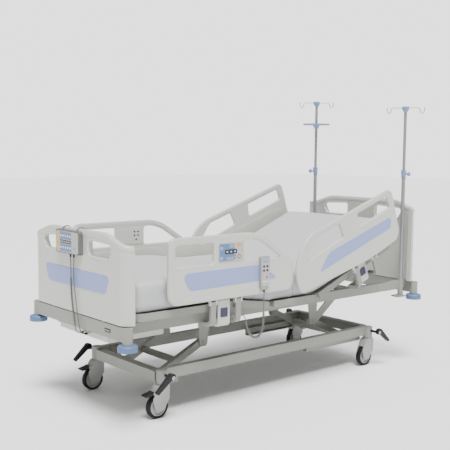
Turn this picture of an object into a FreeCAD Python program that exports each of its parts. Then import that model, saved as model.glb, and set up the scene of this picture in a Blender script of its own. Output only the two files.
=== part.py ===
import FreeCAD, Part
import math
import os
import re
import Sketcher

# Intensive care bed, in millimetres.
# +X runs to the head end, -Y is the patient's left side, +Z is up.
# The origin is on the floor, under the middle of the bed.

doc = FreeCAD.newDocument("care_bed")
sheet = doc.addObject("Spreadsheet::Sheet", "Sizes")

SIZES = {
    # casters
    "caster_x": 820, "caster_y": 317, "wheel_diameter": 125, "tyre_width": 32, "tyre_depth": 14,
    "wheel_gap": 2.5, "caster_trail": 32, "axle_diameter": 12, "fork_cheek": 7, "fork_top": 176,
    "stem_diameter": 28, "stem_length": 40, "tyre_round": 8, "running_fit": 0.05, "seat_gap": 0.3,
    # base frame
    "base_top": 251, "base_rail_height": 56, "base_rail_width": 40, "base_post_diameter": 62,
    "base_post_height": 68, "foot_beam_drop": 15, "foot_beam_height": 55, "base_beam_width": 50,
    # brake bars
    "brake_height": 225, "brake_bar_diameter": 16, "lever_reach": 88, "lever_drop": 82,
    "lever_width": 22, "lever_y": 396, "pedal_pin": 6, "pedal_width": 44,
    # lifting linkage
    "lift_angle": 24.9, "lift_arm_length": 306, "lift_pivot_x": 443, "lift_pivot_height": 312,
    "lift_arm_y": 165, "lift_arm_width": 30, "lift_arm_height": 46, "lift_pin_diameter": 20,
    "torque_tube_diameter": 34, "pivot_plate": 8, "roller_diameter": 40, "roller_width": 22,
    "track_wall": 5, "track_length": 500, "tie_bar_position": 190,
    # upper frame
    "frame_top": 537, "frame_rail_height": 54, "frame_inset": 31, "frame_rail_width": 34,
    "end_beam_x": 1118, "end_beam_top": 531, "end_beam_height": 70, "end_beam_width": 36,
    "post_overhang": 24, "corner_post_diameter": 50, "corner_post_height": 81,
    "bumper_diameter": 98, "bumper_height": 32, "bumper_round": 11, "bumper_pin_diameter": 14,
    "cross_member_height": 30, "cross_member_width": 40,
    # platform
    "deck_thickness": 4, "deck_height": 543, "strip_height": 37, "strip_overhang": 18,
    "strip_thickness": 7, "hinge_height": 530, "hip_x": -168, "back_hinge_x": 198,
    "thigh_length": 258, "thigh_angle": 8.6, "leg_length": 643, "back_length": 745,
    "back_angle": 21.5, "hinge_gap": 22, "hinge_pin_diameter": 12, "side_member_width": 34,
    "side_member_height": 24, "leg_corner_radius": 60, "rim_notch_reach": 34,
    # mattress
    "mattress_width": 850, "mattress_thickness": 158, "mattress_radius": 28,
    # boards
    "board_thickness": 30, "foot_board_x": 1138, "head_board_x": 1130, "board_overhang": 30,
    "board_corner": 60, "board_bottom": 537.3, "foot_board_top": 972, "head_board_top": 1062,
    "board_shoulder": 60, "board_hole_inner": 122, "board_hole_outer": 350,
    "board_hole_height": 78, "board_top_bar": 46, "board_pin_diameter": 20, "board_pin_length": 60,
    "board_pin_y": 250, "insert_depth": 3, "insert_proud": 1, "board_insert_half": 325,
    "board_insert_height": 94, "board_insert_drop": 206,
    # side rails
    "rail_clearance": 27, "rail_thickness": 21, "rail_pass": 2.5, "rail_edge": 7, "rail_lug": 8,
    "foot_rail_left": -893, "foot_rail_right": -28, "foot_rail_bottom": 606, "foot_rail_top": 946,
    "back_rail_left": -155, "back_rail_right": 784, "back_rail_bottom": 30, "back_rail_top": 394,
    "rail_pin_diameter": 12, "rail_shaft_diameter": 14, "arm_spacing": 86, "arm_width": 34,
    "arm_thickness": 14, "arm_rise": 116, "rail_pivot_inset": 13, "foot_mount_x": -518,
    "foot_pivot_z": 476, "back_mount_x": 412, "back_pivot_z": -94,
    "lock_width": 80, "button_size": 48, "button_depth": 6, "button_travel": 3,
    # nurse panel
    "panel_width": 236, "panel_height": 122, "panel_depth": 26, "panel_y": 42, "panel_top": 962,
    # handset
    "handset_x": -262, "handset_top": 812, "handset_length": 182, "handset_width": 68,
    "handset_depth": 19,
    # drip poles
    "pole_x": 1054, "pole_inset": 35, "pole_diameter": 24, "pole_bottom": 441, "pole_top": 1252,
    "rod_diameter": 19, "rod_bottom": 830, "rod_top": 1650, "far_rod_rise": 60,
    "socket_diameter": 36, "socket_height": 112, "socket_foot_length": 74,
    "socket_foot_width": 60, "collar_diameter": 34, "collar_height": 50,
    "knob_diameter": 26, "knob_length": 34, "hook_span": 210, "hook_wire": 5, "hook_radius": 14,
    "head_diameter": 44, "tray_diameter": 186, "tray_drop": 150,
    # shelf
    "shelf_width": 480, "shelf_depth": 340, "shelf_height": 36, "shelf_top": 452,
    "shelf_x": -1096,
    # cords
    "cord_diameter": 5, "handset_coil_diameter": 14, "panel_coil_diameter": 12,
}

# sizes that follow the width of the mattress, so that rails, boards and frame keep clear of it
FOLLOWING = {
    "frame_rail_outer": "mattress_width / 2 - frame_inset",
    "corner_post_y": "mattress_width / 2 + post_overhang",
    "strip_outer": "mattress_width / 2 + strip_overhang",
    "board_half_width": "mattress_width / 2 + board_overhang",
    "rail_inner": "mattress_width / 2 + rail_clearance",
    "rail_pivot_y": "mattress_width / 2 - rail_pivot_inset",
    "pole_y": "mattress_width / 2 - pole_inset",
}
KNOWN = {**SIZES, **{alias: "=" + rule for alias, rule in FOLLOWING.items()}}

for row, (alias, value) in enumerate(KNOWN.items(), start=1):
    sheet.set(f"A{row}", alias.replace("_", " "))
    sheet.set(f"B{row}", str(value))
    sheet.setAlias(f"B{row}", alias)
doc.recompute()


def bound(text):
    """An expression in which every size is read from the sheet."""
    return re.sub(r"[a-z][a-z_]*", lambda m: "Sizes." + m[0] if m[0] in KNOWN else m[0], str(text))


def size(alias):
    """The number that the sheet holds for one size."""
    return float(getattr(sheet, alias))


def bind(item, prop, text):
    item.setExpression(prop, bound(text))
    return item


def put(item, at=("0", "0", "0")):
    for axis, text in zip("xyz", at):
        bind(item, f"Placement.Base.{axis}", text)
    return item


def turn(item, axis, angle):
    """Turns an item about an axis through its own origin."""
    item.Placement = FreeCAD.Placement(FreeCAD.Vector(), FreeCAD.Rotation(FreeCAD.Vector(*axis), 1))
    return bind(item, "Placement.Rotation.Angle", angle)


def box(name, lengths, at):
    """A box from its three lengths and its lowest corner."""
    item = doc.addObject("Part::Box", name)
    for prop, text in zip(("Length", "Width", "Height"), lengths):
        bind(item, prop, text)
    return put(item, at)


AXIS_TURN = {
    "X": FreeCAD.Rotation(FreeCAD.Vector(0, 1, 0), 90),
    "Y": FreeCAD.Rotation(FreeCAD.Vector(1, 0, 0), -90),
    "Z": FreeCAD.Rotation(),
}


def rod(name, diameter, length, at, axis="Z"):
    """A cylinder that starts at a point and runs along an axis."""
    item = doc.addObject("Part::Cylinder", name)
    bind(item, "Radius", f"({diameter}) / 2")
    bind(item, "Height", length)
    item.Placement = FreeCAD.Placement(FreeCAD.Vector(), AXIS_TURN[axis])
    return put(item, at)


def fuse(name, items):
    item = doc.addObject("Part::MultiFuse", name)
    item.Shapes = items
    item.Refine = True
    return item


def cut(name, base, tools):
    tool = tools[0] if len(tools) == 1 else fuse(name + "_tools", tools)
    item = doc.addObject("Part::Cut", name)
    item.Base = base
    item.Tool = tool
    return item


def group(name, items):
    """Separate solids that share one node."""
    item = doc.addObject("Part::Compound", name)
    item.Links = items
    return item


nodes = []


def node(item, label):
    item.Label = label
    nodes.append(item)
    return item


class Form:
    """A body padded and pocketed from outlines whose corners are bound to the sheet."""

    def __init__(self, name):
        self.name = name
        self.steps = 0
        self.body = doc.addObject("PartDesign::Body", name)

    def feature(self, kind):
        self.steps += 1
        return self.body.newObject(kind, f"{self.name}_{kind.split('::')[1]}_{self.steps}")

    def outline(self, role, corners, offset):
        sketch = self.feature("Sketcher::SketchObject")
        plane = next(f for f in self.body.Origin.OriginFeatures if f.Role == role)
        sketch.AttachmentSupport = (plane, [""])
        sketch.MapMode = "FlatFace"
        bind(sketch, "AttachmentOffset.Base.z", offset)
        count = len(corners)
        ring = [math.tau * index / count for index in range(count)]
        start = [FreeCAD.Vector(100 * math.cos(a), 100 * math.sin(a), 0) for a in ring]
        for index in range(count):
            sketch.addGeometry(Part.LineSegment(start[index], start[(index + 1) % count]), False)
        for index in range(count):
            sketch.addConstraint(Sketcher.Constraint("Coincident", index, 2, (index + 1) % count, 1))
        for index, corner in enumerate(corners):
            for kind, text, axis in (("DistanceX", corner[0], -2), ("DistanceY", corner[1], -1)):
                if text == "0":
                    sketch.addConstraint(Sketcher.Constraint("PointOnObject", index, 1, axis))
                    continue
                place = sketch.addConstraint(Sketcher.Constraint(kind, -1, 1, index, 1, 50.0))
                bind(sketch, f"Constraints[{place}]", text)
        doc.recompute()
        return sketch

    def sweep(self, kind, role, corners, start, length):
        """Pads or pockets an outline from one plane, and rounds the corners that give a radius."""
        towards_plus = role != "XZ_Plane"
        offset = start if towards_plus else f"-({start})"
        sketch = self.outline(role, corners, offset)
        step = self.feature(kind)
        step.Profile = sketch
        bind(step, "Length", length)
        step.Reversed = (kind == "PartDesign::Pad") != towards_plus
        doc.recompute()
        if kind == "PartDesign::Pocket":
            before = step.BaseFeature.Shape.Volume
            if before - step.Shape.Volume < 1:
                raise ValueError(f"{step.Name} cuts nothing")
        self.round_corners(sketch, corners)
        return self

    def pad(self, role, corners, start, length):
        return self.sweep("PartDesign::Pad", role, corners, start, length)

    def pocket(self, role, corners, start, length):
        return self.sweep("PartDesign::Pocket", role, corners, start, length)

    def round_corners(self, sketch, corners):
        points = [sketch.Placement.multVec(g.StartPoint) for g in sketch.Geometry]
        normal = sketch.Placement.Rotation.multVec(FreeCAD.Vector(0, 0, 1))
        radii = {}
        for point, corner in zip(points, corners):
            if len(corner) > 2:
                radii.setdefault(corner[2], []).append(point)
        for radius, places in radii.items():
            self.round_edges(radius, lambda edge: any(on_line(edge, p, normal) for p in places))

    def round_edges(self, radius, wanted):
        base = self.body.Tip
        names = [f"Edge{i}" for i, edge in enumerate(base.Shape.Edges, start=1) if wanted(edge)]
        if not names:
            raise ValueError(f"{self.name} has no edge to round")
        step = self.feature("PartDesign::Fillet")
        step.Base = (base, names)
        bind(step, "Radius", radius)
        doc.recompute()
        if step.Shape.isNull() or not step.Shape.isValid():
            raise ValueError(f"{self.name} can't take a radius of {radius}")
        return self


NEAR = 1e-4


def on_line(edge, point, direction):
    """Whether an edge runs along a direction through a point."""
    if len(edge.Vertexes) != 2:
        return False
    run = edge.Vertexes[1].Point - edge.Vertexes[0].Point
    if run.cross(direction).Length > NEAR * max(run.Length, 1):
        return False
    return (edge.Vertexes[0].Point - point).cross(direction).Length < 0.01


def in_plane(edge, axis, value):
    """Whether an edge lies in the plane where one coordinate has a value."""
    box_of_edge = edge.BoundBox
    low = getattr(box_of_edge, axis + "Min")
    high = getattr(box_of_edge, axis + "Max")
    return abs(low - value) < 0.01 and abs(high - value) < 0.01


SIDES = {"near": -1, "far": 1}
ENDS = {"foot": -1, "head": 1}


def across(sign, inner, thickness):
    """The lowest Y of a slab that stands off the middle plane on one side."""
    return f"{inner}" if sign > 0 else f"-({inner}) - ({thickness})"


# Casters

WHEEL_RADIUS = "wheel_diameter / 2"
FORK_WIDTH = "(tyre_width + 2 * wheel_gap + 2 * fork_cheek)"
PEDAL_X = "(-caster_trail - 30)"
PEDAL_Z = "(wheel_diameter + 13)"


def caster_wheel(end, side):
    """A rubber tyre round a dished hub, revolved about the axle."""
    name = f"wheel_{end}_{side}"
    centre = (f"{ENDS[end]} * caster_x - caster_trail", f"{SIDES[side]} * caster_y", WHEEL_RADIUS)
    tyre_form = doc.addObject("Part::Cylinder", name + "_tyre_blank")
    bind(tyre_form, "Radius", WHEEL_RADIUS)
    bind(tyre_form, "Height", "tyre_width")
    tyre_round = doc.addObject("Part::Fillet", name + "_tyre_round")
    tyre_round.Base = tyre_form
    radius = size("tyre_round")
    tyre_round.Edges = [(1, radius, radius), (3, radius, radius)]
    tyre = cut(name + "_tyre", tyre_round, [rod(name + "_rim", "wheel_diameter - 2 * tyre_depth",
                                                "tyre_width + 2", ("0", "0", "-1"))])
    disc = rod(name + "_disc", "wheel_diameter - 2 * tyre_depth", "tyre_width - 4", ("0", "0", "2"))
    dish = [rod(f"{name}_dish_{face}", "wheel_diameter - 4 * tyre_depth", "5", ("0", "0", low))
            for face, low in (("a", "1.5"), ("b", "tyre_width - 6.5"))]
    boss = rod(name + "_boss", "axle_diameter * 2.4", "tyre_width", ("0", "0", "0"))
    bore = rod(name + "_bore", "axle_diameter + 2 * running_fit", "tyre_width + 2", ("0", "0", "-1"))
    hub = cut(name + "_hub", fuse(name + "_hub_blank", [cut(name + "_web", disc, dish), boss]), [bore])
    wheel = group(name + "_pair", [tyre, hub])
    wheel.Placement = FreeCAD.Placement(FreeCAD.Vector(), AXIS_TURN["Y"])
    put(wheel, (centre[0], f"{centre[1]} - tyre_width / 2", centre[2]))
    return node(wheel, f"caster_wheel_{end}_{side}")


def caster_fork(end, side):
    """A hooded fork: two cheeks that sweep back from the stem to the axle, under one hood."""
    name = f"fork_{end}_{side}"
    form = Form(name)
    form.pad("XZ_Plane", [
        ("-caster_trail - 22", "wheel_diameter / 2 - 22", "21"),
        ("-caster_trail + 22", "wheel_diameter / 2 - 22", "21"),
        ("31", "wheel_diameter / 2 + 34", "30"),
        ("31", "fork_top", "8"),
        ("-34", "fork_top", "34"),
        ("-caster_trail - 40", "wheel_diameter / 2 + 40", "30"),
    ], f"-{FORK_WIDTH} / 2", FORK_WIDTH)
    form.pocket("XZ_Plane", [
        ("-caster_trail - 90", "-10"),
        ("30", "-10"),
        ("30", "wheel_diameter + 1.5", "24"),
        ("-caster_trail - 90", "wheel_diameter + 1.5"),
    ], "-(tyre_width + 2 * wheel_gap) / 2", "tyre_width + 2 * wheel_gap")
    stem = rod(name + "_stem", "stem_diameter", "stem_length", ("0", "0", "fork_top - 1"))
    collar = rod(name + "_collar", "stem_diameter + 20", "4.7", ("0", "0", "fork_top - 1"))
    axle = rod(name + "_axle", "axle_diameter", FORK_WIDTH,
               ("-caster_trail", f"-{FORK_WIDTH} / 2", WHEEL_RADIUS), "Y")
    parts = [form.body, stem, collar, axle]
    if end == "foot":
        for sign in (-1, 1):
            parts.append(box(f"{name}_ear_{sign + 1}", ("26", "3", "14"),
                             (f"{PEDAL_X} - 6", across(sign, "pedal_width / 2 + 0.5", "3"),
                               f"{PEDAL_Z} - 7")))
        parts.append(rod(name + "_pedal_pin", "pedal_pin", "pedal_width + 7",
                         (PEDAL_X, "-pedal_width / 2 - 3.5", PEDAL_Z), "Y"))
    whole = fuse(name + "_whole", parts)
    put(whole, (f"{ENDS[end]} * caster_x", f"{SIDES[side]} * caster_y", "0"))
    return node(whole, f"caster_fork_{end}_{side}")


def toe_tab(side):
    """The wheel lock pedal of a foot end caster, behind the wheel on the fork's outer cheek."""
    name = f"toe_{side}"
    sign = SIDES[side]
    form = Form(name)
    form.pad("XZ_Plane", [
        (f"{PEDAL_X} + 2", f"{PEDAL_Z} + 7", "3"),
        (f"{PEDAL_X} - 54", f"{PEDAL_Z} - 5", "5"),
        (f"{PEDAL_X} - 52", f"{PEDAL_Z} - 13", "4"),
        (f"{PEDAL_X} + 2", f"{PEDAL_Z} - 7", "3"),
    ], "-pedal_width / 2", "pedal_width")
    hub = rod(name + "_hub", "2 * pedal_pin + 2", "pedal_width", (PEDAL_X, "-pedal_width / 2", PEDAL_Z), "Y")
    bore = rod(name + "_bore", "pedal_pin + 2 * running_fit", "pedal_width + 2",
               (PEDAL_X, "-pedal_width / 2 - 1", PEDAL_Z), "Y")
    whole = cut(name + "_whole", fuse(name + "_blank", [form.body, hub]), [bore])
    put(whole, ("-caster_x", f"{sign} * caster_y", "0"))
    return node(whole, f"caster_toe_tab_{side}")


for end in ENDS:
    for side in SIDES:
        caster_wheel(end, side)
        caster_fork(end, side)
for side in SIDES:
    toe_tab(side)


# Base frame

BASE_RAIL_OUTER = "(caster_y + 3)"
BASE_RAIL_INNER = "(caster_y + 3 - base_rail_width)"
LIFT_RUN = "lift_arm_length * cos(lift_angle)"
LIFT_RISE = "lift_arm_length * sin(lift_angle)"
LOW_PIVOT_X = f"(lift_pivot_x + {LIFT_RUN})"
LOW_PIVOT_Z = f"(lift_pivot_height - {LIFT_RISE})"


def base_frame():
    """Side tubes, end beams, caster sleeves, pivot brackets at the foot and roller tracks at the head."""
    items = []
    cuts = []
    for side, sign in SIDES.items():
        items.append(box(f"base_rail_{side}", ("2 * caster_x", "base_rail_width", "base_rail_height"),
                         ("-caster_x", across(sign, BASE_RAIL_INNER, "base_rail_width"),
                          "base_top - base_rail_height")))
        bracket = box(f"base_bracket_{side}", ("70", "pivot_plate", f"base_top - 5 - {LOW_PIVOT_Z} + 30"),
                      (f"-{LOW_PIVOT_X} - 35",
                        across(sign, f"{BASE_RAIL_INNER} - pivot_plate", "pivot_plate"),
                       f"{LOW_PIVOT_Z} - 30"))
        items.append(bracket)
        cuts.append(rod(f"base_pivot_bore_{side}", "torque_tube_diameter + 2 * running_fit",
                        "pivot_plate + 2",
                        (f"-{LOW_PIVOT_X}", across(sign, f"{BASE_RAIL_INNER} - pivot_plate - 1",
                                                   "pivot_plate + 2"), LOW_PIVOT_Z), "Y"))
        web_inner = f"({BASE_RAIL_INNER} - track_wall)"
        flange_inner = f"({BASE_RAIL_INNER} - track_wall - roller_width - 4)"
        track_x = f"{LOW_PIVOT_X} + 70 - track_length"
        track_low = f"({LOW_PIVOT_Z} - roller_diameter / 2 - seat_gap)"
        items.append(box(f"track_web_{side}",
                         ("track_length", "track_wall", "roller_diameter + 2 * seat_gap + 2 * track_wall"),
                         (track_x, across(sign, web_inner, "track_wall"), f"{track_low} - track_wall")))
        for face, low in (("low", f"{track_low} - track_wall"),
                          ("high", f"{LOW_PIVOT_Z} + roller_diameter / 2 + seat_gap")):
            items.append(box(f"track_{face}_{side}",
                             ("track_length", "roller_width + 4 + track_wall", "track_wall"),
                             (track_x, across(sign, flange_inner, "roller_width + 4 + track_wall"), low)))
    for end, sign in ENDS.items():
        drop = "foot_beam_drop" if end == "foot" else "0"
        height = "foot_beam_height" if end == "foot" else "base_rail_height"
        items.append(box(f"base_beam_{end}",
                         ("base_beam_width", f"2 * {BASE_RAIL_INNER} + 10", height),
                         (f"{sign} * caster_x - base_beam_width / 2", f"-{BASE_RAIL_INNER} - 5",
                          f"base_top - {drop} - {height}")))
        for side, y_sign in SIDES.items():
            at = (f"{sign} * caster_x", f"{y_sign} * caster_y", "base_top - 2 - base_post_height")
            items.append(rod(f"base_post_{end}_{side}", "base_post_diameter", "base_post_height", at))
            cuts.append(rod(f"base_post_bore_{end}_{side}",
                            "stem_diameter + 2 * running_fit", "stem_length - 2",
                            (at[0], at[1], "base_top - 3 - base_post_height")))
        cuts.append(rod(f"brake_bore_{end}", "brake_bar_diameter + 2 * running_fit",
                        "2 * (caster_y + base_post_diameter)",
                        (f"{sign} * caster_x", "-caster_y - base_post_diameter", "brake_height"), "Y"))
    frame = cut("base_whole", fuse("base_blank", items), cuts)
    return node(frame, "base_frame")


def brake_bar(end):
    """The cross shaft through the caster posts of one end, with an elbow lever outside each post."""
    sign = ENDS[end]
    shaft_half = "(lever_y + 4)"
    levers = [rod(f"brake_shaft_{end}", "brake_bar_diameter", f"2 * {shaft_half}",
                  (f"{sign} * caster_x", f"-{shaft_half}", "brake_height"), "Y")]
    for side, y_sign in SIDES.items():
        form = Form(f"brake_lever_{end}_{side}")
        form.pad("XZ_Plane", [
            (f"{sign} * (caster_x - 13)", "brake_height - 13", "6"),
            (f"{sign} * (caster_x - 13)", "brake_height + 20", "10"),
            (f"{sign} * (caster_x + 15)", "brake_height + 26", "13"),
            (f"{sign} * (caster_x + 15 + lever_reach)", "brake_height + 22 - lever_drop", "7"),
            (f"{sign} * (caster_x + 5 + lever_reach)", "brake_height + 10 - lever_drop", "6"),
            (f"{sign} * (caster_x + 13)", "brake_height - 10", "8"),
        ], across(y_sign, "lever_y", "lever_width"), "lever_width")
        levers.append(form.body)
    return node(fuse(f"brake_whole_{end}", levers), f"{end}_brake_bar")


base_frame()
for end in ENDS:
    brake_bar(end)


# Lifting linkage

def lift_arm(name, sign, end):
    """One arm with round ends, from the upper pivot down and outwards to the base."""
    slope = f"{ENDS[end]} * lift_angle"
    arm = box(f"{name}_bar", ("lift_arm_length", "lift_arm_width", "lift_arm_height - 8"),
              ("0", "-lift_arm_width / 2", "-(lift_arm_height - 8) / 2"))
    eyes = [rod(f"{name}_eye_{spot}", "lift_arm_height", "lift_arm_width",
                (x, "-lift_arm_width / 2", "0"), "Y")
            for spot, x in (("high", "0"), ("low", "lift_arm_length"))]
    whole = fuse(name, [arm] + eyes)
    if end == "head":
        turn(whole, (0, 1, 0), "lift_angle")
    else:
        turn(whole, (0, 1, 0), "180 - lift_angle")
    put(whole, (f"{ENDS[end]} * lift_pivot_x", f"{sign} * lift_arm_y", "lift_pivot_height"))
    return whole


def lift_arms(end):
    """A pair of arms on one cross tube, with the pivot pins and, at the head end, the rollers."""
    items = [lift_arm(f"{end}_arm_{side}", sign, end) for side, sign in SIDES.items()]
    low_x = f"{ENDS[end]} * {LOW_PIVOT_X}"
    side_gap = "seat_gap" if end == "foot" else "track_wall - 3"
    tube_half = f"({BASE_RAIL_INNER} - {side_gap})"
    tube = "torque_tube_diameter" if end == "foot" else "torque_tube_diameter - 8"
    items.append(rod(f"{end}_torque_tube", tube, f"2 * {tube_half}",
                     (low_x, f"-{tube_half}", LOW_PIVOT_Z), "Y"))
    reach = "tie_bar_position"
    tie_x = f"{ENDS[end]} * (lift_pivot_x + {reach} * cos(lift_angle))"
    items.append(box(f"{end}_tie_bar", ("26", "2 * lift_arm_y", "30"),
                     (f"{tie_x} - 13", "-lift_arm_y", f"lift_pivot_height - {reach} * sin(lift_angle) - 15")))
    for side, sign in SIDES.items():
        items.append(rod(f"{end}_lift_pin_{side}", "lift_pin_diameter",
                         "pivot_plate + lift_arm_width / 2 + 4",
                         (f"{ENDS[end]} * lift_pivot_x",
                          across(sign, "lift_arm_y", "pivot_plate + lift_arm_width / 2 + 4"),
                          "lift_pivot_height"), "Y"))
        if end == "head":
            items.append(rod(f"roller_{side}", "roller_diameter", "roller_width",
                             (low_x, across(sign, f"{BASE_RAIL_INNER} - track_wall - roller_width - 1",
                                            "roller_width"), LOW_PIVOT_Z), "Y"))
    return node(fuse(f"{end}_arms_whole", items), f"{end}_lift_arms")


for end in ENDS:
    lift_arms(end)


# Upper frame

RAIL_Z = "(frame_top - frame_rail_height)"
FRAME_INNER = "(frame_rail_outer - frame_rail_width)"
POST_LOW = "(end_beam_top - corner_post_height)"
BUMPER_LOW = f"({POST_LOW} - 2 * seat_gap - bumper_height)"


def upper_frame():
    """The welded frame, one solid for each welded piece: side tubes, end beams and cross members."""
    beam_inner = "(end_beam_x - end_beam_width / 2)"
    pieces = []
    for side, sign in SIDES.items():
        pieces.append(frame_rail(side, sign, beam_inner))
    for end, x_sign in ENDS.items():
        pieces.append(end_beam(end, x_sign))
        pieces.append(pivot_member(end, x_sign))
    pieces.append(cross_member("seat", "-10"))
    return node(group("frame_group", pieces), "upper_frame")


def frame_rail(side, sign, beam_inner):
    """One side tube with its pole socket and accessory holes."""
    rail_tube = box(f"frame_rail_{side}", (f"2 * {beam_inner}", "frame_rail_width", "frame_rail_height"),
                    (f"-{beam_inner}", across(sign, FRAME_INNER, "frame_rail_width"), RAIL_Z))
    socket = rod(f"pole_socket_{side}", "socket_diameter", "socket_height",
                 ("pole_x", f"{sign} * pole_y", "pole_bottom - 8"))
    foot = box(f"socket_foot_{side}", ("socket_foot_length", "socket_foot_width", "8"),
               ("pole_x - socket_foot_length + socket_diameter / 2",
                f"{sign} * pole_y - socket_foot_width / 2", "pole_bottom - 8"))
    cuts = [rod(f"pole_bore_{side}", "pole_diameter + 2 * running_fit", "socket_height + 20",
                ("pole_x", f"{sign} * pole_y", "pole_bottom"))]
    for number, drop in ((1, 14), (2, 38)):
        cuts.append(rod(f"accessory_hole_{number}_{side}", "8", "frame_rail_width + 4",
                        ("pole_x - 242", across(sign, f"{FRAME_INNER} - 2", "frame_rail_width + 4"),
                         f"frame_top - {drop}"), "Y"))
    return cut(f"frame_rail_whole_{side}", fuse(f"frame_rail_blank_{side}", [rail_tube, socket, foot]), cuts)


def end_beam(end, x_sign):
    """One end beam with its corner posts, bumper pins and board sockets."""
    items = [box(f"end_beam_{end}", ("end_beam_width", "2 * corner_post_y - 20", "end_beam_height"),
                 (f"{x_sign} * end_beam_x - end_beam_width / 2", "-corner_post_y + 10",
                  "end_beam_top - end_beam_height"))]
    cuts = []
    board_x = f"{x_sign} * ({end}_board_x - board_thickness / 2)"
    for side, sign in SIDES.items():
        post_x = f"{x_sign} * end_beam_x"
        post_y = f"{sign} * corner_post_y"
        items.append(rod(f"corner_post_{end}_{side}", "corner_post_diameter", "corner_post_height",
                         (post_x, post_y, POST_LOW)))
        items.append(rod(f"bumper_pin_{end}_{side}", "bumper_pin_diameter", "bumper_height + 8",
                         (post_x, post_y, f"{BUMPER_LOW} - 5")))
        items.append(rod(f"bumper_washer_{end}_{side}", "bumper_pin_diameter * 2", "4.7",
                         (post_x, post_y, f"{BUMPER_LOW} - 5")))
        cuts.append(rod(f"board_socket_{end}_{side}", "board_pin_diameter + 1", "board_pin_length + 6",
                        (board_x, f"{sign} * board_pin_y", "end_beam_top - board_pin_length")))
    return cut(f"end_beam_whole_{end}", fuse(f"end_beam_blank_{end}", items), cuts)


def cross_member(name, low_x):
    """A tube across the frame, from the inner face of one side tube to the other."""
    return box(f"cross_member_{name}", ("cross_member_width", f"2 * {FRAME_INNER}", "cross_member_height"),
               (low_x, f"-{FRAME_INNER}", RAIL_Z))


def pivot_member(end, x_sign):
    """The cross member over one pair of lift pivots, with its pivot plates. The head one also has braces."""
    items = [cross_member(end, f"{x_sign} * lift_pivot_x - cross_member_width / 2")]
    cuts = []
    plate_inner = "(lift_arm_y + lift_arm_width / 2 + 1)"
    for side, sign in SIDES.items():
        form = Form(f"pivot_plate_{end}_{side}")
        form.pad("XZ_Plane", [
            (f"{x_sign} * (lift_pivot_x - 27)", "lift_pivot_height - 24", "23"),
            (f"{x_sign} * (lift_pivot_x + 24)", "lift_pivot_height - 24", "23"),
            (f"{x_sign} * (lift_pivot_x + 40)", f"{RAIL_Z} + 10"),
            (f"{x_sign} * (lift_pivot_x - 50)", f"{RAIL_Z} + 10"),
        ], across(sign, plate_inner, "pivot_plate"), "pivot_plate")
        items.append(form.body)
        if end == "head":
            items.append(brace(side, sign))
        cuts.append(rod(f"lift_bore_{end}_{side}", "lift_pin_diameter + 2 * running_fit", "pivot_plate + 4",
                        (f"{x_sign} * lift_pivot_x", across(sign, f"{plate_inner} - 2", "pivot_plate + 4"),
                         "lift_pivot_height"), "Y"))
    if end == "head":
        items.append(cross_member("brace", "lift_pivot_x + 225"))
    return cut(f"pivot_member_{end}", fuse(f"pivot_blank_{end}", items), cuts)


def brace(side, sign):
    """The strut that runs from the head pivot up to the frame."""
    form = Form(f"brace_{side}")
    form.pad("XZ_Plane", [
        ("lift_pivot_x - 6", "lift_pivot_height - 20", "10"),
        ("lift_pivot_x + 22", "lift_pivot_height - 20", "14"),
        (f"lift_pivot_x + 290", f"{RAIL_Z} + 8"),
        (f"lift_pivot_x + 200", f"{RAIL_Z} + 8"),
        ("lift_pivot_x - 6", "lift_pivot_height + 22", "10"),
    ], across(sign, "lift_arm_y + lift_arm_width / 2 + 1", "pivot_plate"), "pivot_plate")
    return form.body


def bumper(end, side):
    """A wall bumper roller that spins on its pin under a corner post."""
    name = f"bumper_{end}_{side}"
    blank = doc.addObject("Part::Cylinder", name + "_blank")
    bind(blank, "Radius", "bumper_diameter / 2")
    bind(blank, "Height", "bumper_height")
    rounded = doc.addObject("Part::Fillet", name + "_round")
    rounded.Base = blank
    radius = size("bumper_round")
    rounded.Edges = [(1, radius, radius), (3, radius, radius)]
    bore = rod(name + "_bore", "bumper_pin_diameter + 2 * running_fit", "bumper_height + 2", ("0", "0", "-1"))
    ring = cut(name + "_ring", rounded, [bore])
    put(ring, (f"{ENDS[end]} * end_beam_x", f"{SIDES[side]} * corner_post_y", BUMPER_LOW))
    return node(ring, f"bumper_roller_{end}_{side}")


upper_frame()
for end in ENDS:
    for side in SIDES:
        bumper(end, side)


# Platform

STRIP_LOW = "(deck_height + 4 - strip_height - hinge_height)"
DECK_LOW = "(deck_height - deck_thickness - hinge_height)"
KNEE_X = "(hip_x - thigh_length * cos(thigh_angle))"
KNEE_Z = "(hinge_height + thigh_length * sin(thigh_angle))"
MEMBER_INNER = "(strip_outer - strip_thickness - 3 - side_member_width)"


INNER_RADIUS = "(leg_corner_radius - strip_thickness)"
ARC_MIDDLE = "0.293"


def rounded_rim(at_x, sign_x, inner):
    """The two corners of a closed end, each as three points on its round."""
    x_in = f"{at_x} - {sign_x} * {INNER_RADIUS}"
    x_mid = f"{at_x} - {sign_x} * {ARC_MIDDLE} * {INNER_RADIUS}"
    y_in = f"({inner} - {INNER_RADIUS})"
    y_mid = f"({inner} - {ARC_MIDDLE} * {INNER_RADIUS})"
    return [(x_in, f"-{inner}"), (x_mid, f"-{y_mid}"), (at_x, f"-{y_in}"),
            (at_x, y_in), (x_mid, y_mid), (x_in, inner)]


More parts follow.
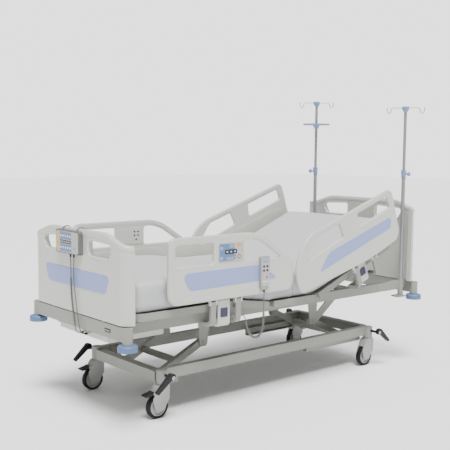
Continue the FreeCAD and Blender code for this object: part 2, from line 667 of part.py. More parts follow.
def tray(name, low, high, rim=None):
    """One deck with turned-down edge strips. A rim closes the end that it names."""
    corner = ("leg_corner_radius",)
    low_round = corner if rim == "low" else ()
    high_round = corner if rim == "high" else ()
    inner = "(strip_outer - strip_thickness)"
    form = Form(name)
    form.pad("XY_Plane", [
        (low, "-strip_outer") + low_round, (high, "-strip_outer") + high_round,
        (high, "strip_outer") + high_round, (low, "strip_outer") + low_round,
    ], STRIP_LOW, "strip_height")
    ends = {}
    for end, at_x, sign in (("low", low, "-1"), ("high", high, "1")):
        closed = rounded_rim(f"({at_x}) - {sign} * strip_thickness", sign, inner)
        open_x = f"({at_x}) + {sign}"
        ends[end] = closed if rim == end else [(open_x, f"-{inner}"), (open_x, inner)]
    hollow = ends["high"] + ends["low"][::-1]
    form.pocket("XY_Plane", hollow, f"{STRIP_LOW} - 1", f"{DECK_LOW} - {STRIP_LOW} + 1")
    form.pocket("XY_Plane", hollow, f"{DECK_LOW} + deck_thickness", "strip_height")
    return form


def members(name, low, length):
    """The side members under a deck."""
    return [box(f"{name}_member_{side}", (length, "side_member_width", "side_member_height + 1"),
                (low, across(sign, MEMBER_INNER, "side_member_width"), f"{DECK_LOW} - side_member_height"))
            for side, sign in SIDES.items()]


def hinge_eyes(name, at_x, towards):
    """Eyes with a bore on the side of the hinge that carries it."""
    eyes = []
    bores = []
    for side, sign in SIDES.items():
        low_y = across(sign, MEMBER_INNER, "10")
        reach = "hinge_gap + 8"
        eyes.append(rod(f"{name}_eye_{side}", "2 * hinge_pin_diameter", "10", (at_x, low_y, "0"), "Y"))
        arm_low = at_x if towards > 0 else f"{at_x} - ({reach})"
        eyes.append(box(f"{name}_link_{side}", (reach, "10", "16"), (arm_low, low_y, "-8")))
        bores.append(rod(f"{name}_bore_{side}", "hinge_pin_diameter + 2 * running_fit", "14",
                         (at_x, across(sign, f"{MEMBER_INNER} - 2", "14"), "0"), "Y"))
    return eyes, bores


def hinge_pins(name, towards):
    """Outer eyes with pins, on the side of the hinge that swings."""
    items = []
    for side, sign in SIDES.items():
        low_y = across(sign, f"{MEMBER_INNER} + 12", "10")
        reach = "hinge_gap + 8"
        items.append(rod(f"{name}_outer_{side}", "2 * hinge_pin_diameter", "10", ("0", low_y, "0"), "Y"))
        arm_low = "0" if towards > 0 else f"-({reach})"
        items.append(box(f"{name}_arm_{side}", (reach, "10", "16"), (arm_low, low_y, "-8")))
        items.append(rod(f"{name}_pin_{side}", "hinge_pin_diameter", "24",
                         ("0", across(sign, f"{MEMBER_INNER} - 2", "24"), "0"), "Y"))
    return items


def rim_notches(name, end_x):
    """Notches in a closed rim, so that the section can lie flat over the frame's side tubes."""
    reach = "rim_notch_reach"
    low_x = f"{end_x} - {reach}"
    return [box(f"{name}_notch_{side}",
                (f"{reach} + 1", "frame_rail_width + 8", f"{DECK_LOW} - {STRIP_LOW} + 1"),
                (low_x, across(sign, f"{FRAME_INNER} - 4", "frame_rail_width + 8"), f"{STRIP_LOW} - 1"))
            for side, sign in SIDES.items()]


def rim_step(name, low_x):
    """A shallower closed rim between the side strips, which clears the frame as the section lies flat."""
    return box(f"{name}_step",
               ("rim_notch_reach + 1", "2 * frame_rail_outer + 8", f"{DECK_LOW} - {STRIP_LOW} + 1"),
               (low_x, "-frame_rail_outer - 4", f"{STRIP_LOW} - 1"))


def vent_slots(name, low, pitch, count):
    """Cross slots that let the deck breathe."""
    return [rod_slot(f"{name}_slot_{row}_{column}", f"{low} + {row} * ({pitch})", column)
            for row in range(count) for column in (-1, 1)]


def rod_slot(name, at_x, column):
    return box(name, ("16", "260", "30"), (at_x, f"{column} * 180 - 130", f"{DECK_LOW} - 10"))


def seat_section():
    low = "hip_x + hinge_gap"
    high = "back_hinge_x - hinge_gap"
    form = tray("seat_tray", low, high)
    hip_eyes, hip_bores = hinge_eyes("hip", "hip_x", 1)
    back_eyes, back_bores = hinge_eyes("back_hinge", "back_hinge_x", -1)
    bearers = [box(f"seat_bearer_{side}", (f"{high} - ({low}) - 20", "frame_rail_width - 8",
                                           "deck_height - deck_thickness - frame_top"),
                   (f"{low} + 10", across(sign, f"{FRAME_INNER} + 4", "frame_rail_width - 8"),
                    "frame_top + seat_gap - hinge_height"))
               for side, sign in SIDES.items()]
    parts = [form.body] + members("seat", low, f"{high} - ({low})") + hip_eyes + back_eyes + bearers
    slots = vent_slots("seat", f"{low} + 50", "60", 4)
    seat = cut("seat_whole", fuse("seat_blank", parts), hip_bores + back_bores + slots)
    put(seat, ("0", "0", "hinge_height"))
    return node(seat, "seat_section")


def back_section():
    form = tray("back_tray", "hinge_gap", "back_length", "high")
    parts = [form.body] + members("back", "hinge_gap", "back_length - hinge_gap - leg_corner_radius")
    parts += hinge_pins("back", 1)
    spreader_half = f"({FRAME_INNER} - 6)"
    parts.append(box("back_spreader", ("40", f"2 * {spreader_half}", "22"),
                     ("300", f"-{spreader_half}", f"{DECK_LOW} - 21")))
    slots = vent_slots("back", "90", "70", 9)
    notches = rim_notches("back", "back_length")
    back = cut("back_whole", fuse("back_blank", parts), slots[:6] + slots[8:] + notches)
    turn(back, (0, -1, 0), "back_angle")
    put(back, ("back_hinge_x", "0", "hinge_height"))
    return node(back, "back_section")


def thigh_section():
    form = tray("thigh_tray", "-thigh_length + hinge_gap", "-hinge_gap")
    eyes, bores = hinge_eyes("knee", "-thigh_length", 1)
    parts = [form.body] + members("thigh", "-thigh_length + hinge_gap", "thigh_length - 2 * hinge_gap")
    parts += hinge_pins("hip_swing", -1) + eyes
    slots = vent_slots("thigh", "-thigh_length + 60", "60", 3)
    thigh = cut("thigh_whole", fuse("thigh_blank", parts), bores + slots)
    turn(thigh, (0, 1, 0), "thigh_angle")
    put(thigh, ("hip_x", "0", "hinge_height"))
    return node(thigh, "thigh_section")


def leg_section():
    form = tray("leg_tray", "-leg_length", "-hinge_gap", "low")
    parts = [form.body] + members("leg", "-leg_length + leg_corner_radius",
                                  "leg_length - hinge_gap - leg_corner_radius")
    parts += hinge_pins("knee_swing", -1)
    slots = vent_slots("leg", "-leg_length + 90", "70", 7)
    leg = cut("leg_whole", fuse("leg_blank", parts), slots + [rim_step("leg", "-leg_length - 1")])
    put(leg, (KNEE_X, "0", KNEE_Z))
    return node(leg, "leg_section")


seat_section()
back_section()
thigh_section()
leg_section()


# Mattress

PAD_LOW = "(deck_height - hinge_height + seat_gap)"
PAD_HIGH = f"({PAD_LOW} + mattress_thickness)"


def mattress(name, corners, place=None, spin=None, angle=None):
    """One foam block, padded across the bed from its side view."""
    form = Form(f"foam_{name}")
    form.pad("XZ_Plane", corners, "-mattress_width / 2", "mattress_width")
    top = form.body.Tip.Shape.BoundBox.ZMax
    half = size("mattress_width") / 2
    form.round_edges("mattress_radius", lambda edge: abs(abs(edge.CenterOfMass.y) - half) < 0.01
                     and edge.BoundBox.ZMin > top - 1)
    whole = group(f"mattress_{name}_group", [form.body])
    if spin:
        turn(whole, spin, angle)
    put(whole, place)
    return node(whole, f"mattress_{name}")


BACK_MITRE = "tan(back_angle / 2)"
HIP_MITRE = "tan(thigh_angle / 2)"
mattress("back", [
    (f"{PAD_LOW} * {BACK_MITRE} + 0.4", PAD_LOW),
    ("back_length - strip_thickness - 2", PAD_LOW, "20"),
    ("back_length - strip_thickness - 2", PAD_HIGH, "36"),
    (f"{PAD_HIGH} * {BACK_MITRE} + 0.4", PAD_HIGH),
], ("back_hinge_x", "0", "hinge_height"), (0, -1, 0), "back_angle")
mattress("seat", [
    (f"hip_x + {PAD_LOW} * {HIP_MITRE} + 0.4", PAD_LOW),
    (f"back_hinge_x - {PAD_LOW} * {BACK_MITRE} - 0.4", PAD_LOW),
    (f"back_hinge_x - {PAD_HIGH} * {BACK_MITRE} - 0.4", PAD_HIGH),
    (f"hip_x + {PAD_HIGH} * {HIP_MITRE} + 0.4", PAD_HIGH),
], ("0", "0", "hinge_height"))
mattress("thigh", [
    (f"-thigh_length - {PAD_LOW} * {HIP_MITRE} + 0.4", PAD_LOW),
    (f"-{PAD_LOW} * {HIP_MITRE} - 0.4", PAD_LOW),
    (f"-{PAD_HIGH} * {HIP_MITRE} - 0.4", PAD_HIGH),
    (f"-thigh_length - {PAD_HIGH} * {HIP_MITRE} + 0.4", PAD_HIGH),
], ("hip_x", "0", "hinge_height"), (0, 1, 0), "thigh_angle")
mattress("leg", [
    ("-leg_length + strip_thickness + 2", PAD_LOW, "20"),
    (f"{PAD_LOW} * {HIP_MITRE} - 0.4", PAD_LOW),
    (f"{PAD_HIGH} * {HIP_MITRE} - 0.4", PAD_HIGH),
    ("-leg_length + strip_thickness + 2", PAD_HIGH, "36"),
], (KNEE_X, "0", KNEE_Z))


# Head and foot boards

def board_outline(end, shift=""):
    """The plan of a board: a flat wall whose ends curve round towards the mattress."""
    sign = ENDS[end]
    outer = f"{sign} * {end}_board_x"
    inner = f"{sign} * ({end}_board_x - board_thickness)"
    tip = f"{sign} * ({end}_board_x - board_corner)"
    half = "board_half_width"
    half_in = "(board_half_width - board_thickness)"
    return [
        (tip, f"-{half}"), (outer, f"-{half}", "board_corner - 1"),
        (outer, half, "board_corner - 1"), (tip, half),
        (tip, half_in), (inner, half_in, "board_corner - board_thickness - 1"),
        (inner, f"-{half_in}", "board_corner - board_thickness - 1"), (tip, f"-{half_in}"),
    ]


def insert_outline(end, grow="0"):
    """The tinted insert: a shallow trapezium with round corners."""
    high = f"({end}_board_top - board_insert_drop + {grow})"
    low = f"({end}_board_top - board_insert_drop - board_insert_height - {grow})"
    wide = f"(board_insert_half + {grow})"
    narrow = f"(board_insert_half - 40 + {grow})"
    return [(f"-{wide}", high, "20"), (f"-{narrow}", low, "30"), (narrow, low, "30"), (wide, high, "20")]


def board(end):
    """A moulded board with a crowned top, two hand holes, an insert on each face and two pins."""
    sign = ENDS[end]
    top = f"{end}_board_top"
    form = Form(f"{end}_board_form")
    form.pad("XY_Plane", board_outline(end), "board_bottom", f"{top} - board_bottom")
    through = "board_corner + 20"
    start = f"{end}_board_x - board_corner - 10" if sign > 0 else f"-{end}_board_x - 10"
    form.pocket("YZ_Plane", [
        ("-board_half_width - 10", f"{top} - board_shoulder"),
        ("-board_half_width + 175", top, "260"),
        ("board_half_width - 175", top, "260"),
        ("board_half_width + 10", f"{top} - board_shoulder"),
        ("board_half_width + 10", f"{top} + 20"),
        ("-board_half_width - 10", f"{top} + 20"),
    ], start, through)
    for side, y_sign in SIDES.items():
        form.pocket("YZ_Plane", [
            (f"{y_sign} * board_hole_inner", f"{top} - board_top_bar", "20"),
            (f"{y_sign} * board_hole_inner", f"{top} - board_top_bar - board_hole_height", "24"),
            (f"{y_sign} * (board_hole_outer - 40)", f"{top} - board_top_bar - board_hole_height", "24"),
            (f"{y_sign} * board_hole_outer", f"{top} - board_top_bar - 12", "20"),
        ], start, through)
    faces = {"outer": f"{sign} * {end}_board_x", "inner": f"{sign} * ({end}_board_x - board_thickness)"}
    inserts = []
    for face, at_x in faces.items():
        outward = sign if face == "outer" else -sign
        low = f"{at_x} - insert_depth - seat_gap" if outward > 0 else f"{at_x} - 1"
        form.pocket("YZ_Plane", insert_outline(end, "seat_gap"), low, "insert_depth + seat_gap + 1")
        plate = Form(f"{end}_insert_{face}")
        low = f"{at_x} - insert_depth" if outward > 0 else f"{at_x} - insert_proud"
        plate.pad("YZ_Plane", insert_outline(end), low, "insert_depth + insert_proud")
        inserts.append(plate.body)
    outer_x = sign * size(f"{end}_board_x")
    inner_x = sign * (size(f"{end}_board_x") - size("board_thickness"))
    floor = size(top.split()[0]) - size("board_top_bar") - size("board_hole_height") - 1
    form.round_edges("rail_edge", lambda edge: edge.BoundBox.ZMin > floor
                     and (in_plane(edge, "X", outer_x) or in_plane(edge, "X", inner_x)))
    pins = [rod(f"{end}_board_pin_{side}", "board_pin_diameter", "board_pin_length",
                (f"{sign} * ({end}_board_x - board_thickness / 2)", f"{y_sign} * board_pin_y",
                 "board_bottom - board_pin_length + 4"))
            for side, y_sign in SIDES.items()]
    shell = fuse(f"{end}_board_shell", [form.body] + pins)
    return node(group(f"{end}_board_group", [shell] + inserts), f"{end}board")


for end in ENDS:
    board(end)


# Side rails

RAIL_SETS = {
    "foot": {"mount": "foot_mount_x", "pivot": "foot_pivot_z", "inner": "rail_inner",
             "housing": "(frame_rail_outer + seat_gap)"},
    "back": {"mount": "back_mount_x", "pivot": "back_pivot_z",
             "inner": "(rail_inner + rail_thickness + rail_pass)",
             "housing": "(frame_rail_outer + 1.5)"},
}

FOOT_RAIL_OUTLINE = [
    ("foot_rail_left", "foot_rail_bottom", "60"),
    ("foot_rail_left", "foot_rail_top", "44"),
    ("foot_rail_right - 262", "foot_rail_top", "300"),
    ("foot_rail_right", "foot_rail_bottom + 168", "104"),
    ("foot_rail_right", "foot_rail_bottom", "56"),
]
OPENING_FLOOR = "(foot_rail_bottom + 192)"
FOOT_RAIL_OPENINGS = [
    [("foot_rail_left + 42", OPENING_FLOOR, "16"), ("foot_rail_left + 42", "foot_rail_top - 38", "20"),
     ("foot_rail_left + 288", "foot_rail_top - 38", "16"), ("foot_rail_left + 288", OPENING_FLOOR, "16")],
    [("foot_rail_right - 372", OPENING_FLOOR, "16"), ("foot_rail_right - 372", "foot_rail_top - 38", "16"),
     ("foot_rail_right - 262", "foot_rail_top - 38", "190"),
     ("foot_rail_right - 62", OPENING_FLOOR, "12")],
]
FOOT_INSERT = [
    ("foot_rail_left + 80", "foot_rail_bottom + 158", "24"),
    ("foot_rail_right - 262", "foot_rail_bottom + 162", "150"),
    ("foot_rail_right - 116", "foot_rail_bottom + 76", "10"),
    ("foot_rail_left + 128", "foot_rail_bottom + 66", "44"),
]
BACK_RAIL_OUTLINE = [
    ("back_rail_left", "back_rail_bottom + 74", "45"),
    ("back_rail_left", "back_rail_top + 10", "232"),
    ("back_rail_right", "back_rail_top - 34", "44"),
    ("back_rail_right - 12", "back_rail_bottom", "78"),
    ("back_rail_left + 615", "back_rail_bottom", "300"),
]
BACK_FLOOR = "(back_rail_bottom + 230)"
BACK_RAIL_OPENINGS = [
    [("back_rail_left + 94", BACK_FLOOR, "10"), ("back_rail_left + 440", BACK_FLOOR, "14"),
     ("back_rail_left + 428", "back_rail_top - 38", "16"),
     ("back_rail_left + 245", "back_rail_top - 32", "100")],
    [("back_rail_left + 576", BACK_FLOOR, "14"), ("back_rail_left + 596", "back_rail_top - 46", "16"),
     ("back_rail_left + 884", "back_rail_top - 66", "16"),
     ("back_rail_left + 890", "back_rail_bottom + 222", "16")],
]
BACK_INSERT = [
    ("back_rail_left + 168", "back_rail_bottom + 126", "8"),
    ("back_rail_left + 290", "back_rail_bottom + 202", "90"),
    ("back_rail_left + 874", "back_rail_bottom + 166", "24"),
    ("back_rail_left + 862", "back_rail_bottom + 100", "44"),
]
OUTLINES = {
    "foot": (FOOT_RAIL_OUTLINE, FOOT_RAIL_OPENINGS, FOOT_INSERT),
    "back": (BACK_RAIL_OUTLINE, BACK_RAIL_OPENINGS, BACK_INSERT),
}


def seat_on_back(item):
    """Places an item that was drawn from the back hinge."""
    turn(item, (0, -1, 0), "back_angle")
    return put(item, ("back_hinge_x", "0", "hinge_height"))


def rail_inner_face(place):
    """How far a rail's inner face stands off the middle plane."""
    passing = size("rail_thickness") + size("rail_pass") if place == "back" else 0
    return size("rail_inner") + passing


def rail(place, side):
    """A moulded side rail: round-edged shell with grip openings, a tinted insert and hinge lugs."""
    sign = SIDES[side]
    outline, openings, insert = OUTLINES[place]
    name = f"{place}_rail_{side}"
    inner = RAIL_SETS[place]["inner"]
    pin_y = f"({inner} + rail_thickness / 2)"
    low_y = across(sign, inner, "rail_thickness")
    form = Form(name + "_form")
    form.pad("XZ_Plane", outline, low_y, "rail_thickness")
    for corners in openings:
        form.pocket("XZ_Plane", corners, f"{low_y} - 1", "rail_thickness + 2")
    inner_y = sign * rail_inner_face(place)
    outer_y = sign * (rail_inner_face(place) + size("rail_thickness"))
    form.round_edges("rail_edge", lambda edge: in_plane(edge, "Y", inner_y) or in_plane(edge, "Y", outer_y))
    face_y = f"{sign} * ({inner} + rail_thickness)"
    recess_low = f"{face_y} - insert_depth - seat_gap" if sign > 0 else f"{face_y} - 1"
    form.pocket("XZ_Plane", insert, recess_low, "insert_depth + seat_gap + 1")
    plate = Form(name + "_insert")
    plate.pad("XZ_Plane", insert, f"{face_y} - insert_depth" if sign > 0 else face_y, "insert_depth")
    mount = RAIL_SETS[place]["mount"]
    pin_z = f"({RAIL_SETS[place]['pivot']} + arm_rise)"
    lugs = []
    bores = []
    for hand in (-1, 1):
        arm_x = f"({mount} + {hand} * arm_spacing)"
        for cheek in (-1, 1):
            cheek_x = f"{arm_x} + {cheek} * (arm_width / 2 + 0.6 + rail_lug / 2) - rail_lug / 2"
            lugs.append(box(f"{name}_lug_{hand + 1}_{cheek + 1}", ("rail_lug", "rail_thickness - 6", "42"),
                            (cheek_x, across(sign, f"{inner} + 3", "rail_thickness - 6"), f"{pin_z} - 10")))
        bores.append(rod(f"{name}_bore_{hand + 1}", "rail_pin_diameter + 2 * running_fit",
                         "arm_width + 2 * rail_lug + 6",
                         (f"{arm_x} - arm_width / 2 - rail_lug - 3", f"{sign} * {pin_y}", pin_z), "X"))
        relief = box(f"{name}_relief_{hand + 1}", ("arm_width + 1.2", "rail_thickness + 4", "26"),
                     (f"{arm_x} - arm_width / 2 - 0.6", across(sign, f"{inner} - 2", "rail_thickness + 4"),
                      f"{pin_z} - 12"))
        bores.append(relief)
    shell = cut(name + "_shell", fuse(name + "_blank", [form.body] + lugs), bores)
    whole = group(name + "_group", [shell, plate.body])
    if place == "back":
        seat_on_back(whole)
    return node(whole, f"side_rail_{place}_{side}")


def rail_arms(place, side):
    """Two J-shaped arms on one shaft, with the pins that carry the rail."""
    sign = SIDES[side]
    name = f"{place}_arms_{side}"
    mount = RAIL_SETS[place]["mount"]
    pivot = RAIL_SETS[place]["pivot"]
    pin_y = f"({RAIL_SETS[place]['inner']} + rail_thickness / 2)"
    items = [rod(name + "_shaft", "rail_shaft_diameter", "2 * arm_spacing + arm_width",
                 (f"{mount} - arm_spacing - arm_width / 2", f"{sign} * rail_pivot_y", pivot), "X")]
    for hand in (-1, 1):
        arm_x = f"({mount} + {hand} * arm_spacing)"
        outer = f"({pin_y} + arm_thickness / 2)"
        inner = f"({pin_y} - arm_thickness / 2)"
        form = Form(f"{name}_{hand + 1}")
        form.pad("YZ_Plane", [
            (f"{sign} * {inner}", f"{pivot} + arm_rise + 8", "6.5"),
            (f"{sign} * {outer}", f"{pivot} + arm_rise + 8", "6.5"),
            (f"{sign} * {outer}", f"{pivot} - 11", "40"),
            (f"{sign} * (rail_pivot_y - 11)", f"{pivot} - 11", "10"),
            (f"{sign} * (rail_pivot_y - 11)", f"{pivot} + 11", "10"),
            (f"{sign} * {inner}", f"{pivot} + 11", "26"),
        ], f"{arm_x} - arm_width / 2", "arm_width")
        items.append(form.body)
        items.append(rod(f"{name}_pin_{hand + 1}", "rail_pin_diameter", "arm_width + 2 * rail_lug",
                         (f"{arm_x} - arm_width / 2 - rail_lug", f"{sign} * {pin_y}",
                           f"{pivot} + arm_rise"), "X"))
    whole = fuse(name + "_whole", items)
    if place == "back":
        seat_on_back(whole)
    return node(whole, f"rail_arms_{place}_{side}")


def lock_housing(place):
    """The latch housings of one pair of rails, each with a square button pocket."""
    mount = RAIL_SETS[place]["mount"]
    pivot = RAIL_SETS[place]["pivot"]
    inner = RAIL_SETS[place]["housing"]
    bodies = []
    for side, sign in SIDES.items():
        form = Form(f"{place}_lock_{side}")
        form.pad("YZ_Plane", [
            (f"{sign} * {inner}", f"{pivot} - 18", "6"),
            (f"{sign} * (strip_outer - 4)", f"{pivot} - 18", "8"),
            (f"{sign} * (rail_inner - 1.5)", f"{pivot} - 4", "8"),
            (f"{sign} * (rail_inner - 1.5)", f"{pivot} + 122"),
            (f"{sign} * (strip_outer + 0.6)", f"{pivot} + 122"),
            (f"{sign} * (strip_outer + 0.6)", f"{pivot} + 22", "4"),
            (f"{sign} * {inner}", f"{pivot} + 22", "4"),
        ], f"{mount} - lock_width / 2", "lock_width")
        pocket = box(f"{place}_lock_pocket_{side}",
                     ("button_size + 0.6", "button_travel + 6", "button_size + 0.6"),
                     (f"{mount} - button_size / 2 - 0.3",
                      across(sign, "rail_inner - 5 - button_travel", "button_travel + 6"),
                      f"{pivot} + 57 - button_size / 2 - 0.3"))
        bore = rod(f"{place}_lock_bore_{side}", "rail_shaft_diameter + 2 * running_fit", "lock_width + 4",
                   (f"{mount} - lock_width / 2 - 2", f"{sign} * rail_pivot_y", pivot), "X")
        bodies.append(cut(f"{place}_lock_whole_{side}", form.body, [pocket, bore]))
    whole = group(f"{place}_lock_group", bodies)
    if place == "back":
        seat_on_back(whole)
    return node(whole, f"rail_lock_{place}")


def release_button(place, side):
    """The square button that frees one rail."""
    sign = SIDES[side]
    mount = RAIL_SETS[place]["mount"]
    pivot = RAIL_SETS[place]["pivot"]
    form = Form(f"{place}_button_{side}")
    half = "button_size / 2"
    form.pad("XZ_Plane", [
        (f"{mount} - {half}", f"{pivot} + 57 - {half}", "5"),
        (f"{mount} + {half}", f"{pivot} + 57 - {half}", "5"),
        (f"{mount} + {half}", f"{pivot} + 57 + {half}", "5"),
        (f"{mount} - {half}", f"{pivot} + 57 + {half}", "5"),
    ], across(sign, "rail_inner - 4.7", "button_depth"), "button_depth")
    whole = group(f"{place}_button_group_{side}", [form.body])
    if place == "back":
        seat_on_back(whole)
    return node(whole, f"release_button_{place}_{side}")


for place in RAIL_SETS:
    lock_housing(place)
    for side in SIDES:
        rail(place, side)
        rail_arms(place, side)
        release_button(place, side)


# Wires and cords

def bent_path(points):
    """Straight runs joined by tangent arcs, each as large as its two runs allow."""
    runs = [b - a for a, b in zip(points, points[1:])]
    edges = []
    start = points[0]
    radii = []
    for index in range(1, len(points) - 1):
        before = runs[index - 1]
        after = runs[index]
        half_turn = before.getAngle(after) / 2
        reach = 0.45 * min(before.Length, after.Length)
        radii.append(reach / math.tan(half_turn))
        into = points[index] - before * (reach / before.Length)
        out = points[index] + after * (reach / after.Length)
        to_middle = (into + out) * 0.5 - points[index]
        depth = radii[-1] * (1 / math.cos(half_turn) - 1)
        middle = points[index] + to_middle * (depth / to_middle.Length)
        edges.append(Part.LineSegment(start, into).toShape())
        edges.append(Part.Arc(into, middle, out).toShape())
        start = out
    edges.append(Part.LineSegment(start, points[-1]).toShape())
    return Part.Wire(edges), radii


def tube(name, points, diameter):
    """A round tube along a bent path, with its volume compared to section times length."""
    points = [FreeCAD.Vector(*p) for p in points]
    path, radii = bent_path(points)
    section = Part.Wire(Part.makeCircle(diameter / 2, points[0], points[1] - points[0]))
    solid = path.makePipeShell([section], True, True)
    expected = math.pi * diameter ** 2 / 4 * path.Length
    if abs(solid.Volume / expected - 1) > 0.02:
        raise ValueError(f"{name} has a volume of {solid.Volume:.0f}, not {expected:.0f}")
    print(f"{name}: {path.Length:.0f} long, radii " + " ".join(f"{r:.0f}" for r in radii))
    item = doc.addObject("Part::Feature", name)
    item.Shape = solid
    return item


# Nurse control panel on the footboard

PANEL_BACK = -(size("foot_board_x") + size("seat_gap"))
PANEL_MID = PANEL_BACK - size("panel_depth") / 2


def nurse_panel():
    """The hung control panel: a round-cornered case with a screen recess and two wire hooks."""
    form = Form("panel_case")
    half = "panel_width / 2"
    form.pad("YZ_Plane", [
        (f"panel_y - {half}", "panel_top - panel_height", "14"),
        (f"panel_y + {half}", "panel_top - panel_height", "14"),
        (f"panel_y + {half}", "panel_top", "14"), (f"panel_y - {half}", "panel_top", "14"),
    ], "-foot_board_x - seat_gap - panel_depth", "panel_depth")
    front = -(size("foot_board_x") + size("seat_gap") + size("panel_depth"))
    form.round_edges("4", lambda edge: in_plane(edge, "X", front))
    rise = size("foot_board_top") + size("hook_wire") / 2 + 3.3
    far = -(size("foot_board_x") - size("board_thickness") - size("hook_wire") / 2 - 5.3)
    hooks = []
    for number, offset in ((1, -72), (2, 72)):
        y = size("panel_y") + offset
        top = size("panel_top")
        hooks.append(tube(f"panel_hook_{number}", [
            (PANEL_MID + 4, y, top - 30), (PANEL_MID + 4, y, rise), (far, y, rise), (far, y, top - 22),
        ], size("hook_wire")))
    return node(fuse("panel_whole", [form.body] + hooks), "nurse_panel")


def nurse_cord():
    """The panel's curly lead, and the thin lead beside it, down to the control box."""
    low = size("panel_top") - size("panel_height")
    x = PANEL_MID
    gland_x = size("shelf_x") - 14
    coil = tube("panel_coil", [
        (x, 26, 722), (x, 26, 680), (x - 1, 18, 622), (x, 8, 562), (x, -6, 508), (x, -14, 468),
    ], size("panel_coil_diameter"))
    tail = tube("panel_lead_low", [
        (x, -14, 468), (x, -18, 448), (x + 11, -22, 434), (gland_x - 0.3, -22, 434),
    ], size("cord_diameter"))
    lead = tube("panel_lead", [
        (x, 28, low), (x, 28, low - 30), (x, 26, low - 62), (x, 26, 722.0),
    ], size("cord_diameter"))
    strand = tube("panel_strand", [
        (x, -6, low), (x, -6, low - 26), (x, -2, low - 62), (x, -1, low - 110), (x, -8, low - 170),
        (x, -20, low - 230), (x, -34, low - 290), (x, -50, low - 348), (x + 2, -58, low - 384),
        (x + 13, -62, 434), (gland_x - 0.3, -62, 434),
    ], size("cord_diameter"))
    node(coil, "nurse_cord_coil")
    return node(group("panel_leads", [lead, tail, strand]), "nurse_cord_leads")


def control_box():
    """The junction box under the foot beam, with two glands for the panel's leads."""
    form = Form("control_case")
    half = "shelf_width / 2"
    low = "shelf_top - shelf_height - 3"
    form.pad("XZ_Plane", [
        ("shelf_x", low, "8"), ("shelf_x + shelf_depth", low, "8"),
        ("shelf_x + shelf_depth", "shelf_top", "6"), ("shelf_x", "shelf_top", "6"),
    ], f"-{half}", "shelf_width")
    beam_low = "(end_beam_top - end_beam_height)"
    tabs = [box(f"control_tab_{side}", ("30", "60", f"{beam_low} - seat_gap - shelf_top + 4"),
                ("-end_beam_x - 6 + 2", f"{sign} * (shelf_width / 2 - 50) - 30", "shelf_top - 4"))
            for side, sign in SIDES.items()]
    glands = [rod(f"control_gland_{number}", "18", "16", ("shelf_x - 14", y, "434"), "X")
              for number, y in ((1, "-22"), (2, "-62"))]
    return node(fuse("control_whole", [form.body] + tabs + glands), "control_box")


nurse_panel()
nurse_cord()
control_box()


# Patient handset on the near foot rail

def handset():
    """A tapered pendant that hooks over the lower edge of the rail's opening."""
    form = Form("handset_case")
    face = "rail_inner + rail_thickness + seat_gap"
    half = "handset_width / 2"
    low = "(handset_top - handset_length)"
    form.pad("XZ_Plane", [
        (f"handset_x - {half} + 6", low, "14"), (f"handset_x + {half} - 6", low, "14"),
        (f"handset_x + {half}", "handset_top", "12"), (f"handset_x - {half}", "handset_top", "12"),
    ], f"-({face}) - handset_depth", "handset_depth")
    outer = -(size("rail_inner") + size("rail_thickness") + size("seat_gap") + size("handset_depth"))
    form.round_edges("4", lambda edge: in_plane(edge, "Y", outer))
    hook = Form("handset_hook")
    hook.pad("YZ_Plane", [
        (f"-({face}) - 3", f"{OPENING_FLOOR} + seat_gap"),
        (f"-({face}) - 3", f"{OPENING_FLOOR} + seat_gap + 4"),
        ("-rail_inner + 3.6", f"{OPENING_FLOOR} + seat_gap + 4", "3"),
        ("-rail_inner + 3.6", f"{OPENING_FLOOR} - 16"),
        ("-rail_inner + 0.4", f"{OPENING_FLOOR} - 16"),
        ("-rail_inner + 0.4", f"{OPENING_FLOOR} + seat_gap"),
    ], "handset_x - 14", "28")
    return node(fuse("handset_whole", [form.body, hook.body]), "handset")


def handset_cord():
    """The curly lead that hangs in a loop under the rail, with its straight ends."""
    y = -(size("rail_inner") + size("rail_thickness") + size("seat_gap") + size("handset_depth") / 2)
    low = size("handset_top") - size("handset_length")
    x = size("handset_x")
    top_lead = tube("handset_lead_top", [
        (x, y, low), (x, y, low - 28), (x - 1, y, low - 62), (x - 2, y, low - 92), (x - 2, y, 514),
    ], size("cord_diameter"))
    coil = tube("handset_coil", [
        (x - 2, y, 514), (x - 2, y, 466), (x - 6, y, 416), (x - 28, y + 2, 378), (x - 68, y + 6, 374),
        (x - 100, y + 10, 404), (x - 114, y + 12, 438), (x - 120, y + 13, 472),
    ], size("handset_coil_diameter"))
    end_y = -(size("frame_rail_outer") + size("seat_gap"))
    end_lead = tube("handset_lead_end", [
        (x - 120, y + 13, 472), (x - 122.65, y + 13.44, 487), (x - 125, y + 22, 498),
        (x - 127, y + 40, 501), (x - 128, y + 64, 499), (x - 128, end_y, 499),
    ], size("cord_diameter"))
    node(coil, "handset_cord_coil")
    return node(group("handset_leads", [top_lead, end_lead]), "handset_cord_leads")


handset()
handset_cord()


# Drip poles

